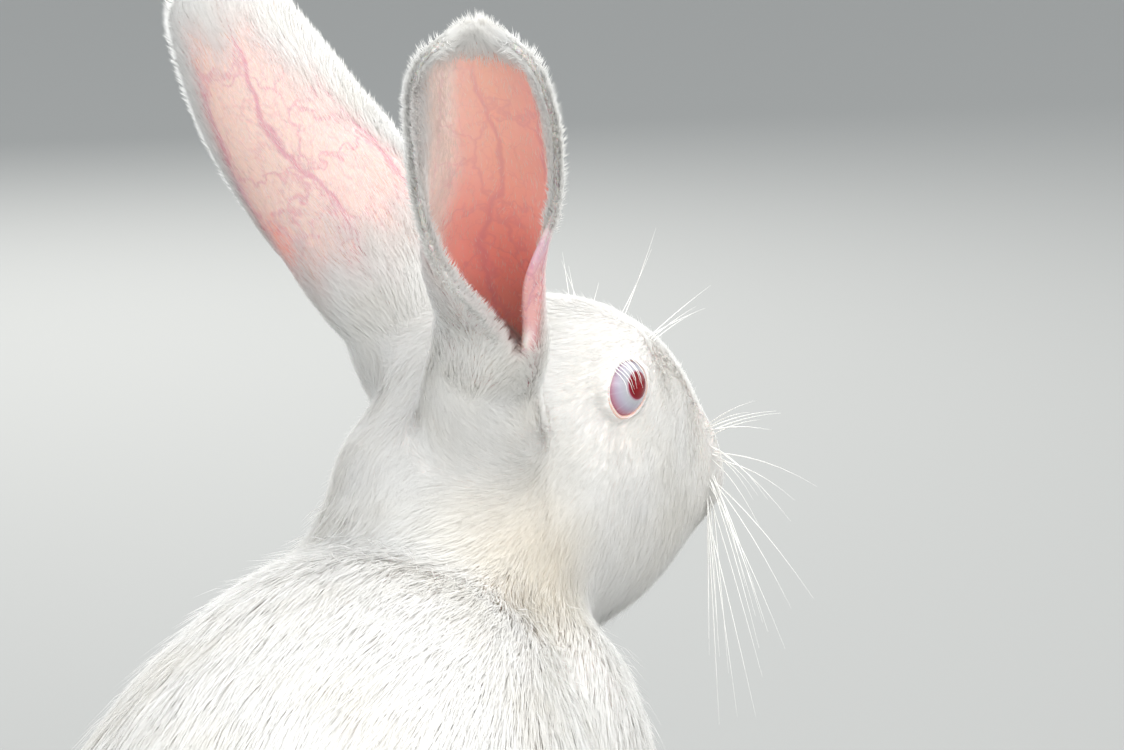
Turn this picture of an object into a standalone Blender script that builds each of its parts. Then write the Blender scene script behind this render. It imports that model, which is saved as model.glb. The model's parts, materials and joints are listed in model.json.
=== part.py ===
"""A life-size sitting white rabbit, its head raised and turned to its right.

Frame: metres, +Z up, the body faces -Y, the rabbit's right side is -X, and it rests on the plane z = 0.
Every length in the tables below is in millimetres, and MM turns it into metres.
The body is lofted whole, cut flat where it rests, and then parted into its named pieces.
"""

import math
from functools import partial

import bmesh
import bpy
import numpy as np
from mathutils import Matrix, Vector

MM = 0.001

SIDES = (("right", -1), ("left", 1))  # and the sign of x on each side

# ---- fineness and clearances ---------------------------------------------------------------------
GAP = 0.35                 # clearance between two neighbouring pieces
RING_POINTS = 28           # points round each cross-section of the body
ROW_STEPS = 5              # cross-sections added between two stations of a table
ZONE_POINTS = 9            # the same two for a parting surface
ZONE_STEPS = 1
BALL_POINTS = 14           # points round the eyes and their lids
ZONE_BALL_POINTS = 11      # and round a parting surface that is an ellipsoid
JOIN_VOXEL = 2.6           # grid on which the lofted masses melt together
SOFTEN_TIMES = 9
BODY_TRIANGLES = 3000      # the whole body before it is parted
PART_MARGIN = 4.5          # how far each parting surface stands off the limb it follows
END_GROWTH = 2.0           # and, in times that margin, off the limb's two ends

# ---- the head ------------------------------------------------------------------------------------
HEAD_PLACE = (-32.0, -95.0, 232.0)  # the point midway between the eyes
HEAD_TURN = 38.0           # turned to the rabbit's right, degrees
EYE_FORWARD = 56.0         # from the back of the skull, along the head
EYE_SIDE = 19.0            # from the midline to the eyeball's centre
EYE_RISE = 5.0             # above the head's own axis
EYE_RADIUS = 9.2
LID_THICKNESS = 1.7
LID_OPENING = (4.8, 8.2, 8.6)  # radii of the opening between the lids: side, forward, up

# From the back of the skull to the nose: forward, top, bottom, half width, height of the widest point
HEAD_STATIONS = (
    (-2, 0, -26, 12, -12),
    (8, 14, -42, 22, -14),
    (22, 24, -54, 27, -16),
    (38, 28, -60, 30, -18),
    (56, 27.5, -63, 29.5, -19),
    (70, 23, -62, 26.5, -20),
    (82, 16.5, -56, 22, -21),
    (91, 8, -48, 17.5, -22),
    (98.5, -3, -44, 13.5, -23),
    (104, -12, -38, 9.5, -24),
    (108, -19, -31, 4, -25),
)
# Rounded masses of the head: side, forward, up, then the three radii. Those off the midline come in pairs.
HEAD_MASSES = (
    (18, 38, -26, 14, 24, 26),     # cheek
    (8, 96, -30, 8.5, 12, 10),     # whisker pad
    (0, 92, -42, 8, 10, 6),        # chin
    (18, 58, 15, 8.5, 14, 9),      # brow
    (0, 105, -20, 6, 5, 5),        # nose
)
HEAD_ZONE = (0, 56, 6, 60, 76, 72)  # all that counts as head lies in this ellipsoid
NOSTRIL = (4.3, 107, -20.5, 1.2, 5, 2.2)
MOUTH = (0, 97, -37.5, 9, 9, 0.9)

# ---- trunk, neck and tail ------------------------------------------------------------------------
# From the rump to the chest: y, top, bottom, half width, height of the widest point
TRUNK_STATIONS = (
    (172, 66, 42, 14, 52),
    (160, 98, 10, 44, 52),
    (138, 136, -4, 64, 56),
    (104, 168, -4, 76, 62),
    (64, 190, -4, 80, 70),
    (24, 202, -5, 76, 86),
    (-16, 205, 0, 67, 102),
    (-50, 201, 24, 57, 116),
    (-80, 190, 50, 48, 124),
    (-104, 172, 74, 37, 128),
    (-118, 152, 98, 22, 128),
    (-124, 136, 116, 8, 126),
)
# From inside the chest to inside the skull: x, y, z, half width, half depth
NECK_STATIONS = (
    (0, -36, 126, 46, 50),
    (-3, -48, 156, 42, 46),
    (-7, -57, 184, 37, 40),
    (-9, -64, 206, 32, 34),
    (-9, -68, 222, 27, 29),
)
NECK_ZONE = (
    (-3, -48, 152, 44, 46),
    (-5, -54, 176, 43, 45),
    (-8, -60, 200, 47, 49),
    (-9, -66, 226, 52, 54),
    (-9, -68, 256, 50, 50),
)
TAIL_STATIONS = (
    (0, 146, 42, 16, 14),
    (0, 164, 48, 19, 16),
    (0, 178, 62, 20, 16),
    (0, 182, 80, 16, 13),
    (0, 179, 96, 9, 8),
    (0, 176, 103, 3, 3),
)
TAIL_ZONE = (0, 195, 72, 34, 30, 48)

# ---- legs: the left one, x y z and two half breadths; the right one mirrors it --------------------
THIGH = (54, 76, 72, 40, 66, 66)
HIND_FOOT_STATIONS = (
    (66, 114, 14, 13, 15),
    (67, 94, 12, 16, 14),
    (69, 50, 10, 15, 12.5),
    (71, 10, 9, 16, 12),
    (72, -14, 8, 16, 11),
    (72, -26, 6, 13, 7),
)
FORELEG_STATIONS = (
    (32, -42, 183, 7, 10),
    (34, -45, 172, 20, 27),
    (38, -48, 146, 27, 38),
    (42, -48, 112, 27, 38),
    (43, -42, 84, 22, 28),
    (40, -50, 60, 17.5, 20),
    (35, -68, 38, 14.5, 15.5),
    (31, -82, 18, 13, 13),
    (30, -88, 8, 12, 11),
)
FORE_PAW_STATIONS = (
    (30, -80, 9, 11, 10.5),
    (29, -96, 8, 13, 10.5),
    (28, -110, 7, 13.5, 10),
    (28, -119, 5.5, 11, 7.5),
)
# Toes: how many, place of the row's middle, spacing, radii
HIND_TOES = (4, (72, -25, 6.5), 7.0, (4.4, 9, 6.5))
FORE_TOES = (4, (28, -116, 6), 6.2, (4.0, 8, 6))
TOE_CURVE = 1.4            # how far each outer toe stands behind the one inside it
CLAW_LENGTH = 6.5
CLAW_RADIUS = 1.3

# ---- ears ----------------------------------------------------------------------------------------
# Height along the ear, radius of its curl, how far round each edge goes (degrees), forward bow of its back
EAR_STATIONS = (
    (-6, 12.5, 172, 172, 0),
    (12, 13.5, 168, 172, 0),
    (23, 14.3, 142, 168, 0),
    (35, 15.2, 114, 164, 0.5),
    (47, 16.2, 99, 154, 1),
    (59, 17, 92, 128, 1.5),
    (71, 17.3, 88, 104, 2),
    (84, 17, 84, 88, 3),
    (98, 15.5, 76, 76, 4),
    (109, 12, 64, 64, 5),
    (115, 8, 52, 52, 5.5),
    (118, 3, 40, 40, 6),
)
EAR_ACROSS = 4             # faces from the back of the ear to each edge
EAR_THICKNESS = 3.0
# Root on the head (side, forward, up); the way the tip points; the way it opens; length, breadth, curl,
# and how much broader it grows from root to tip
EARS = {
    "ear_right": ((14, 18, 10), (0.375, -0.31, 0.85), (0.766, -0.643, 0), 0.975, 1.04, 1.0, 0.12),
    "ear_left": ((-13, 21, 10), (-0.35, -0.36, 0.87), (-0.766, 0.643, 0), 0.95, 1.16, 0.94, -0.2),
}

# ---- finishes: colour, roughness -----------------------------------------------------------------
COAT = ((0.88, 0.86, 0.82, 1.0), 0.85)
EAR_SKIN = ((0.90, 0.68, 0.62, 1.0), 0.70)
EYE_PINK = ((0.62, 0.12, 0.15, 1.0), 0.08)


# ---- shapes --------------------------------------------------------------------------------------
def smooth_rows(rows, steps=ROW_STEPS):
    """Catmull-Rom rows between the stations of a table."""
    table = np.array(rows, float)
    padded = np.vstack([2 * table[0] - table[1], table, 2 * table[-1] - table[-2]])
    made = []
    for i in range(1, len(padded) - 2):
        a, b, c, d = padded[i - 1 : i + 3]
        for t in np.arange(steps) / steps:
            made.append(
                0.5 * (2 * b + (c - a) * t + (2 * a - 5 * b + 4 * c - d) * t**2
                       + (3 * b - a - 3 * c + d) * t**3)
            )
    made.append(table[-1])
    return made


def skin_rings(mesh, rings):
    """Bridges rings of points into a tube and closes each end with a fan."""
    loops = [[mesh.verts.new(point * MM) for point in ring] for ring in rings]
    for near, far in zip(loops, loops[1:]):
        for i in range(len(near)):
            j = (i + 1) % len(near)
            mesh.faces.new((near[i], near[j], far[j]))
            mesh.faces.new((near[i], far[j], far[i]))
    for loop, first in ((loops[0], True), (loops[-1], False)):
        tip = mesh.verts.new(sum((v.co for v in loop), Vector()) / len(loop))
        for i in range(len(loop)):
            j = (i + 1) % len(loop)
            mesh.faces.new((loop[j], loop[i], tip) if first else (loop[i], loop[j], tip))


def section(half_width, top, bottom, widest, square=2.2):
    """(side, height) points of one upright cross-section, a little squarer than an ellipse."""
    points = []
    for i in range(RING_POINTS):
        turn = math.tau * i / RING_POINTS
        c, s = math.cos(turn), math.sin(turn)
        side = half_width * math.copysign(abs(c) ** (2 / square), c)
        reach = (top - widest) if s > 0 else (widest - bottom)
        points.append((side, widest + reach * math.copysign(abs(s) ** (2 / square), s)))
    return points


def add_ellipsoid(mesh, centre, radii, turn=Matrix.Identity(3), segments=24):
    place = Matrix.Translation(Vector(centre) * MM) @ turn.to_4x4()
    scale = Matrix.Diagonal((*(Vector(radii) * MM), 1))
    bmesh.ops.create_uvsphere(mesh, u_segments=segments, v_segments=segments // 2, radius=1, matrix=place @ scale)


def add_sweep(mesh, rows, hand=1, up=(0, 0, 1), grow=0.0, steps=ROW_STEPS, points=RING_POINTS):
    """A round limb through stations of x, y, z, half width, half depth; grow swells it all round."""
    table = np.array(smooth_rows(rows, steps))
    table[:, 0] *= hand
    table[:, 3:] = (table[:, 3:] + grow) / math.cos(math.pi / points)
    for end, inside in ((0, 1), (-1, -2)):
        way = table[end, :3] - table[inside, :3]
        table[end, :3] += way / np.linalg.norm(way) * grow * END_GROWTH
    rings = []
    for i, row in enumerate(table):
        ahead, behind = table[min(i + 1, len(table) - 1)], table[max(i - 1, 0)]
        along = Vector(ahead[:3] - behind[:3]).normalized()
        across = along.cross(Vector(up)).normalized()
        depth = across.cross(along)
        rings.append([
            Vector(row[:3]) + across * row[3] * math.cos(t) + depth * row[4] * math.sin(t)
            for t in np.linspace(0, math.tau, points, endpoint=False)
        ])
    skin_rings(mesh, rings)


def head_matrix():
    """From the head's axes (side, forward, up, from between the eyes) to the row frame, in millimetres."""
    facing = Matrix.Rotation(math.pi - math.radians(HEAD_TURN), 4, "Z")
    return Matrix.Translation(Vector(HEAD_PLACE)) @ facing


def in_head(side, forward, up):
    """A point of the head's tables in the row frame, in millimetres; a positive side is the right one."""
    return head_matrix() @ Vector((side, forward - EYE_FORWARD, up - EYE_RISE))


def add_in_head(mesh, shape, hand=1, grow=0.0, segments=24):
    side, forward, up, *radii = shape
    radii = [radius + grow for radius in radii]
    add_ellipsoid(mesh, in_head(hand * side, forward, up), radii, head_matrix().to_3x3(), segments)


def add_head(mesh):
    rings = []
    for forward, top, bottom, half_width, widest in smooth_rows(HEAD_STATIONS):
        rings.append([in_head(s, forward, h) for s, h in section(half_width, top, bottom, widest)])
    skin_rings(mesh, rings)
    for shape in HEAD_MASSES:
        for hand in ((-1, 1) if shape[0] else (1,)):
            add_in_head(mesh, shape, hand)


def add_trunk(mesh):
    rings = []
    for y, top, bottom, half_width, widest in smooth_rows(TRUNK_STATIONS):
        rings.append([Vector((s, y, h)) for s, h in section(half_width, top, bottom, widest)])
    skin_rings(mesh, rings)


def add_thigh(mesh, hand, grow=0.0, segments=24):
    x, y, z, *radii = THIGH
    tilt = Matrix.Rotation(math.radians(-12), 3, "X") @ Matrix.Rotation(math.radians(6 * hand), 3, "Y")
    add_ellipsoid(mesh, (hand * x, y, z), [radius + grow for radius in radii], tilt, segments)


def toe_places(toes, hand):
    """The centre of each toe of a foot."""
    count, (x, y, z), spacing, _ = toes
    for i in range(count):
        off = i - 0.5 * (count - 1)
        yield Vector((hand * x + off * spacing, y + abs(off) * TOE_CURVE, z))


def add_toes(mesh, toes, hand):
    for place in toe_places(toes, hand):
        add_ellipsoid(mesh, place, toes[3], segments=16)


def add_claws(mesh, toes, hand):
    """A short cone out of the tip of each toe, pointing forward and down."""
    lean = Matrix.Rotation(math.radians(78), 4, "X")
    for place in toe_places(toes, hand):
        tip = place + Vector((0, -toes[3][1] + 0.5, -1.5))
        bmesh.ops.create_cone(
            mesh, cap_ends=True, segments=4, radius1=CLAW_RADIUS * MM, radius2=0.0,
            depth=CLAW_LENGTH * MM, matrix=Matrix.Translation(tip * MM) @ lean,
        )


def add_ear(mesh, root, tip_way, open_way, length, breadth, curl, flare):
    """A curled leaf: two skins a wall apart, joined round the rim."""
    turn = head_matrix().to_3x3()
    base = in_head(*root)
    along = (turn @ Vector(tip_way)).normalized()
    opening = turn @ Vector(open_way)
    opening = (opening - along * opening.dot(along)).normalized()
    across = along.cross(opening)
    outer, inner = [], []
    for height, radius, medial, lateral, bow in smooth_rows(EAR_STATIONS, 2):
        radius *= breadth * (1 + flare * (height / EAR_STATIONS[-1][0] - 0.5))
        rows = ([], [])
        for k in range(-EAR_ACROSS, EAR_ACROSS + 1):
            turned = math.radians((medial if k < 0 else lateral) * curl * k / EAR_ACROSS)
            outward = across * math.sin(turned) - opening * math.cos(turned)
            middle = base + along * height * length + opening * (bow + radius) + outward * radius
            half = 0.5 * EAR_THICKNESS * (1 - 0.5 * (abs(k) / EAR_ACROSS) ** 4)
            rows[0].append(mesh.verts.new((middle + outward * half) * MM))
            rows[1].append(mesh.verts.new((middle - outward * half) * MM))
        outer.append(rows[0])
        inner.append(rows[1])
    for r in range(len(outer) - 1):
        for k in range(2 * EAR_ACROSS):
            mesh.faces.new((outer[r][k], outer[r][k + 1], outer[r + 1][k + 1], outer[r + 1][k]))
            mesh.faces.new((inner[r][k + 1], inner[r][k], inner[r + 1][k], inner[r + 1][k + 1]))
        mesh.faces.new((inner[r][0], outer[r][0], outer[r + 1][0], inner[r + 1][0]))
        mesh.faces.new((outer[r][-1], inner[r][-1], inner[r + 1][-1], outer[r + 1][-1]))
    for k in range(2 * EAR_ACROSS):
        mesh.faces.new((outer[0][k + 1], outer[0][k], inner[0][k], inner[0][k + 1]))
        mesh.faces.new((outer[-1][k], outer[-1][k + 1], inner[-1][k + 1], inner[-1][k]))


def add_box(mesh, low, high):
    middle = (Vector(low) + Vector(high)) / 2
    size = Matrix.Diagonal((*((Vector(high) - Vector(low)) * MM), 1))
    bmesh.ops.create_cube(mesh, size=1, matrix=Matrix.Translation(middle * MM) @ size)


def add_whole_body(mesh):
    add_trunk(mesh)
    add_sweep(mesh, NECK_STATIONS, up=(0, 1, 0))
    add_head(mesh)
    add_sweep(mesh, TAIL_STATIONS)
    for hand in (-1, 1):
        add_thigh(mesh, hand)
        add_sweep(mesh, HIND_FOOT_STATIONS, hand)
        add_sweep(mesh, FORELEG_STATIONS, hand, up=(0, 1, 0))
        add_sweep(mesh, FORE_PAW_STATIONS, hand)
        add_toes(mesh, HIND_TOES, hand)
        add_toes(mesh, FORE_TOES, hand)


# ---- objects -------------------------------------------------------------------------------------
def add_object(name, *builders, guide=False):
    """A named object whose mesh the builders fill; a guide stays out of the finished model."""
    mesh = bmesh.new()
    for build in builders:
        build(mesh)
    bmesh.ops.recalc_face_normals(mesh, faces=mesh.faces)
    data = bpy.data.meshes.new(name)
    mesh.to_mesh(data)
    mesh.free()
    made = bpy.data.objects.new(name, data)
    bpy.context.scene.collection.objects.link(made)
    if guide:
        made.hide_render = True
        made.display_type = "WIRE"
    return made


def finish(piece, look):
    """Gives a piece its own material and smooth shading."""
    colour, roughness = look
    material = bpy.data.materials.new(piece.name)
    material.use_nodes = True
    shader = material.node_tree.nodes["Principled BSDF"]
    shader.inputs["Base Color"].default_value = colour
    shader.inputs["Roughness"].default_value = roughness
    shader.inputs["Metallic"].default_value = 0.0
    piece.data.materials.clear()
    piece.data.materials.append(material)
    piece.data.shade_smooth()


def boolean(piece, other, operation="DIFFERENCE"):
    cut = piece.modifiers.new(other.name, "BOOLEAN")
    cut.operation = operation
    cut.solver = "EXACT"
    cut.object = other


def copy_of(piece, name):
    made = bpy.data.objects.new(name, piece.data.copy())
    bpy.context.scene.collection.objects.link(made)
    return made


def evaluated(piece, name):
    """The piece's mesh with its modifiers worked out, in a new object."""
    graph = bpy.context.evaluated_depsgraph_get()
    data = bpy.data.meshes.new_from_object(piece.evaluated_get(graph))
    made = bpy.data.objects.new(name, data)
    bpy.context.scene.collection.objects.link(made)
    return made


def whole_body():
    """The lofted masses melted into one skin, thinned, and cut flat at the floor."""
    body = add_object("body_masses", add_whole_body)
    join = body.modifiers.new("join", "REMESH")
    join.mode = "VOXEL"
    join.voxel_size = JOIN_VOXEL * MM
    soften = body.modifiers.new("soften", "SMOOTH")
    soften.iterations = SOFTEN_TIMES
    soften.factor = 0.5
    dense = evaluated(body, "body_dense")
    bpy.data.objects.remove(body)
    thin = dense.modifiers.new("thin", "DECIMATE")
    thin.ratio = BODY_TRIANGLES / (2 * len(dense.data.polygons))
    floor = add_object("floor", lambda mesh: add_box(mesh, (-300, -300, -60), (300, 300, 0)), guide=True)
    boolean(dense, floor)
    made = evaluated(dense, "body_whole")
    bpy.data.objects.remove(dense)
    bpy.data.objects.remove(floor)
    made.hide_render = True
    made.display_type = "WIRE"
    return made


def add_zone_sweep(mesh, rows, hand=1, up=(0, 0, 1), grow=0.0):
    add_sweep(mesh, rows, hand, up, grow, ZONE_STEPS, ZONE_POINTS)


def add_zone_ball(mesh, shape, grow=0.0):
    add_ellipsoid(mesh, shape[:3], [radius + grow for radius in shape[3:]], segments=ZONE_BALL_POINTS)


def zone_table():
    """For each piece but the trunk: its name, the shape that takes it out of the body, what it makes room for."""
    table = [
        ("head", partial(add_in_head, shape=HEAD_ZONE, segments=ZONE_BALL_POINTS), 0.0, ()),
        ("neck", partial(add_zone_sweep, rows=NECK_ZONE, up=(0, 1, 0)), 0.0, ("head",)),
        ("tail", partial(add_zone_ball, shape=TAIL_ZONE), 0.0, ()),
    ]
    for side, hand in SIDES:
        thigh = partial(add_thigh, hand=hand, segments=ZONE_BALL_POINTS)
        foreleg = partial(add_zone_sweep, rows=FORELEG_STATIONS, hand=hand, up=(0, 1, 0))
        hind_foot = partial(add_zone_sweep, rows=HIND_FOOT_STATIONS, hand=hand)
        fore_paw = partial(add_zone_sweep, rows=FORE_PAW_STATIONS, hand=hand)
        under_jaw = ("head",) if side == "right" else ()
        table += [
            ("hind_foot_" + side, hind_foot, PART_MARGIN, ()),
            ("fore_paw_" + side, fore_paw, PART_MARGIN, ()),
            ("hind_leg_" + side, thigh, PART_MARGIN, ("hind_foot_" + side,)),
            ("fore_leg_" + side, foreleg, PART_MARGIN, ("fore_paw_" + side, "neck", *under_jaw)),
        ]
    return table


def part_body(whole):
    """Parts the whole body into its named pieces; the trunk is what the others leave."""
    pieces, rooms = {}, {}
    for node, build, margin, neighbours in zone_table():
        zone = add_object("zone_" + node, partial(build, grow=margin), guide=True)
        rooms[node] = add_object("room_" + node, partial(build, grow=margin + GAP), guide=True)
        pieces[node] = copy_of(whole, node)
        boolean(pieces[node], zone, "INTERSECT")
        for neighbour in neighbours:
            boolean(pieces[node], rooms[neighbour])
    pieces["trunk"] = copy_of(whole, "trunk")
    for room in rooms.values():
        boolean(pieces["trunk"], room)
    return pieces


def add_eyes(head):
    """Each eyeball in a socket of the head, with a lid that wraps it and leaves an almond opening."""
    for side, hand in (("right", 1), ("left", -1)):
        centre = in_head(hand * EYE_SIDE, EYE_FORWARD, EYE_RISE)

        def ball(name, extra, guide):
            radii = [EYE_RADIUS + extra] * 3
            return add_object(
                name + side, partial(add_ellipsoid, centre=centre, radii=radii, segments=BALL_POINTS), guide=guide)

        gap_shape = (EYE_SIDE + EYE_RADIUS, EYE_FORWARD, EYE_RISE, *LID_OPENING)
        opening = add_object(
            "lid_opening_" + side,
            partial(add_in_head, shape=gap_shape, hand=hand, segments=BALL_POINTS), guide=True)
        boolean(head, ball("lid_", LID_THICKNESS, True), "UNION")
        boolean(head, ball("socket_", GAP, True))
        boolean(head, opening)
        finish(ball("eye_", 0.0, False), EYE_PINK)


def carve_muzzle(head):
    """The two nostrils and the line of the mouth."""
    for side, hand in (("right", 1), ("left", -1)):
        nostril = partial(add_in_head, shape=NOSTRIL, hand=hand, segments=8)
        boolean(head, add_object("nostril_" + side, nostril, guide=True))
    mouth = partial(add_in_head, shape=MOUTH, segments=ZONE_BALL_POINTS)
    boolean(head, add_object("mouth", mouth, guide=True))


def add_paw_claws(pieces):
    for side, hand in SIDES:
        for node, toes in (("hind_foot_", HIND_TOES), ("fore_paw_", FORE_TOES)):
            claws = add_object("claws_" + node + side, partial(add_claws, toes=toes, hand=hand), guide=True)
            boolean(pieces[node + side], claws, "UNION")


def add_ears(whole):
    """The ears stand on the body, a gap clear of it."""
    body_room = copy_of(whole, "body_room")
    body_room.hide_render = True
    body_room.display_type = "WIRE"
    swell = body_room.modifiers.new("swell", "DISPLACE")
    swell.strength = GAP * MM
    swell.mid_level = 0.0
    for node, shape in EARS.items():
        ear = add_object(node, lambda mesh: add_ear(mesh, *shape))
        boolean(ear, body_room)
        finish(ear, EAR_SKIN)


# ---- the rabbit ----------------------------------------------------------------------------------
for old in list(bpy.data.objects):
    bpy.data.objects.remove(old)

whole_rabbit = whole_body()
flesh = part_body(whole_rabbit)
add_eyes(flesh["head"])
carve_muzzle(flesh["head"])
add_paw_claws(flesh)
add_ears(whole_rabbit)
for flesh_piece in flesh.values():
    finish(flesh_piece, COAT)
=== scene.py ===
import json
import math

import bpy
import numpy as np
from mathutils import Matrix, Vector
from mathutils.bvhtree import BVHTree
from mathutils.kdtree import KDTree

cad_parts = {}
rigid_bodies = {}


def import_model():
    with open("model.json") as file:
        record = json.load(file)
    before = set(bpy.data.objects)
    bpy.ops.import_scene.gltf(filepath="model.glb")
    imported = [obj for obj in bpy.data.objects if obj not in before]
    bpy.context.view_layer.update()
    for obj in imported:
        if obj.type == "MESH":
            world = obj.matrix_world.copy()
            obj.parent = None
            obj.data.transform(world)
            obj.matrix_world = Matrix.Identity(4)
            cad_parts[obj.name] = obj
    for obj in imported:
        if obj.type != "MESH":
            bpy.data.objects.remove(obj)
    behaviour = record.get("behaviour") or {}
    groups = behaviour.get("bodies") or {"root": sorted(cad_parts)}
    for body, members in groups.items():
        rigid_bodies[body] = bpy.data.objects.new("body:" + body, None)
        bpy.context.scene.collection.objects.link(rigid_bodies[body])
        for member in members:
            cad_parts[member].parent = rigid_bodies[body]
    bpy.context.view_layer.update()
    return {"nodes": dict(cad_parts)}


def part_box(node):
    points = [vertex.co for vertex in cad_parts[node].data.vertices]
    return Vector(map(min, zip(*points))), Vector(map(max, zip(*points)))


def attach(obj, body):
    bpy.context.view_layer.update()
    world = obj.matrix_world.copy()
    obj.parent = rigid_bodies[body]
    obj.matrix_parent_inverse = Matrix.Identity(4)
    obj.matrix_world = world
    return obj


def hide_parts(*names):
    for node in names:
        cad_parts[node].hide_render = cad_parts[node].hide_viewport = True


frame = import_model()

mm = 0.001
rng = np.random.default_rng(7)
sides = (("Right", 1), ("Left", -1))
flesh = ["head", "neck", "trunk", "tail"]
flesh += [f"{part}_{side}" for part in ("fore_leg", "fore_paw", "hind_leg", "hind_foot")
          for side in ("right", "left")]

# Places on the head
eyeRight, eyeLeft = [(low + high) / 2 for low, high in (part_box("eye_right"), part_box("eye_left"))]
eyeSpots = (("Right", eyeRight, 1), ("Left", eyeLeft, -1))
browMiddle = (eyeRight + eyeLeft) / 2
sideWay = (eyeRight - eyeLeft).normalized()          # the rabbit's own right
upWay = Vector((0, 0, 1))
noseWay = upWay.cross(sideWay)
browForward, browUp = 56, 5                          # millimetres from the neck's top to the eyes
noseTip, throat = (0, 108, -20), (0, 52, -72)


def onHead(side, forward, up):
    # millimetres to the right of, in front of and above the middle of the neck's top
    return browMiddle + (sideWay * side + noseWay * (forward - browForward) + upWay * (up - browUp)) * mm


def headParts(points):
    # the same three numbers for an array of points
    away = np.asarray(points) - np.array(browMiddle)
    parts = np.stack([away @ np.array(way) for way in (sideWay, noseWay, upWay)], 1)
    return parts / mm + (0, browForward, browUp)


def deselectAll():
    if bpy.context.object and bpy.context.object.mode != "OBJECT":
        bpy.ops.object.mode_set(mode="OBJECT")
    bpy.ops.object.select_all(action="DESELECT")


def pick(piece):
    deselectAll()
    piece.select_set(True)
    bpy.context.view_layer.objects.active = piece


def addModifier(piece, kind, **settings):
    pick(piece)
    modifier = piece.modifiers.new(kind.title(), kind)
    for name, value in settings.items():
        setattr(modifier, name, value)
    bpy.ops.object.modifier_apply(modifier=modifier.name)


def editAll(piece, action, **settings):
    # runs one operator on the whole mesh
    pick(piece)
    bpy.ops.object.mode_set(mode="EDIT")
    bpy.ops.mesh.select_all(action="SELECT")
    action(**settings)
    bpy.ops.object.mode_set(mode="OBJECT")


def coordinates(mesh):
    places = np.empty(len(mesh.vertices) * 3, np.float32)
    mesh.vertices.foreach_get("co", places)
    return places.reshape(-1, 3).astype(float)


def vertexNormals(mesh):
    ways = np.empty(len(mesh.vertices) * 3, np.float32)
    mesh.vertex_normals.foreach_get("vector", ways)
    return ways.reshape(-1, 3).astype(float)


def setCoordinates(mesh, places):
    mesh.vertices.foreach_set("co", np.ascontiguousarray(places, np.float32).ravel())
    mesh.update()


def edgePairs(mesh):
    pairs = np.empty(len(mesh.edges) * 2, np.int32)
    mesh.edges.foreach_get("vertices", pairs)
    return pairs.reshape(-1, 2)


def relaxed(values, pairs, times, share=0.5):
    # evens out a value from vertex to vertex
    count = np.bincount(pairs.ravel(), minlength=len(values)).astype(float)
    columns = values.reshape(len(values), -1).T.copy()
    near, far = pairs.T
    for _ in range(times):
        for column in columns:
            total = np.bincount(near, column[far], len(column))
            total = total + np.bincount(far, column[near], len(column))
            column += (total / count - column) * share
    return columns.T.reshape(values.shape)


def unit(ways):
    return ways / np.maximum(np.linalg.norm(ways, axis=-1, keepdims=True), 1e-9)


def smoothStep(low, high, value):
    t = np.clip((value - low) / (high - low), 0, 1)
    return t * t * (3 - 2 * t)


def ripple(places, size, seed, waves=7):
    # soft noise between -1 and 1, with lumps about `size` across
    own = np.random.default_rng(seed)
    turns = unit(own.normal(size=(waves, 3))) * own.uniform(0.7, 1.5, (waves, 1)) * 2 * math.pi / size
    return np.sin(places @ turns.T + own.uniform(0, 6.28, waves)).sum(1) / math.sqrt(waves) * 0.8


# Camera, floor and light
view = {"turn": 192, "rise": 12, "distance": 1.15, "lens": 145.5, "slide": 17.2, "lift": 3.8,
        "aim": (27, 56, 5)}
room = {"floor": 14.0, "key": 15, "fill": 7, "front": 19, "back": 17, "sky": 0.95}


def addCamera():
    turn, rise = math.radians(view["turn"]), math.radians(view["rise"])
    back = Vector((math.sin(turn) * math.cos(rise), -math.cos(turn) * math.cos(rise), math.sin(rise)))
    across = Vector((math.cos(turn), math.sin(turn), 0))
    place = onHead(*view["aim"]) + back * view["distance"] - across * view["slide"] * mm
    place += back.cross(across) * view["lift"] * mm
    bpy.ops.object.camera_add(location=place, rotation=(-back).to_track_quat("-Z", "Y").to_euler())
    camera = bpy.context.object
    camera.name = "camera"
    camera.data.lens = view["lens"]
    camera.data.clip_end = 60
    bpy.context.scene.camera = camera
    return back, across


def addLight(name, place, aim, size, power, colour):
    bpy.ops.object.light_add(type="AREA", location=place)
    lamp = bpy.context.object
    lamp.name = name
    lamp.rotation_euler = (aim - Vector(place)).to_track_quat("-Z", "Y").to_euler()
    lamp.data.size = size
    lamp.data.energy = power
    lamp.data.color = colour


def plainMaterial(name, **sockets):
    material = bpy.data.materials.new(name)
    material.use_nodes = True
    shader = material.node_tree.nodes["Principled BSDF"]
    for socket, value in sockets.items():
        shader.inputs[socket.replace("_", " ")].default_value = value
    return material, material.node_tree, shader


def feed(tree, socket, value):
    # links a socket, or sets a number or a colour
    if isinstance(value, bpy.types.NodeSocket):
        tree.links.new(value, socket)
    elif value is not None:
        socket.default_value = value


def mathNode(tree, kind, first, second=None, third=None):
    node = tree.nodes.new("ShaderNodeMath")
    node.operation = kind
    for socket, value in zip(node.inputs, (first, second, third)):
        feed(tree, socket, value)
    return node.outputs["Value"]


def fadeNode(tree, value, start, end, top=1.0, way="SMOOTHSTEP"):
    fade = tree.nodes.new("ShaderNodeMapRange")
    fade.interpolation_type = way
    fade.inputs["From Min"].default_value = start
    fade.inputs["From Max"].default_value = end
    fade.inputs["To Max"].default_value = top
    tree.links.new(value, fade.inputs["Value"])
    return fade.outputs["Result"]


def mixNode(tree, share, under, over, way="MIX"):
    blend = tree.nodes.new("ShaderNodeMix")
    blend.data_type = "RGBA"
    blend.blend_type = way
    feed(tree, blend.inputs["Factor"], share)
    for socket, value in ((blend.inputs["A"], under), (blend.inputs["B"], over)):
        feed(tree, socket, (*value, 1) if isinstance(value, tuple) else value)
    return blend.outputs["Result"]


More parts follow.
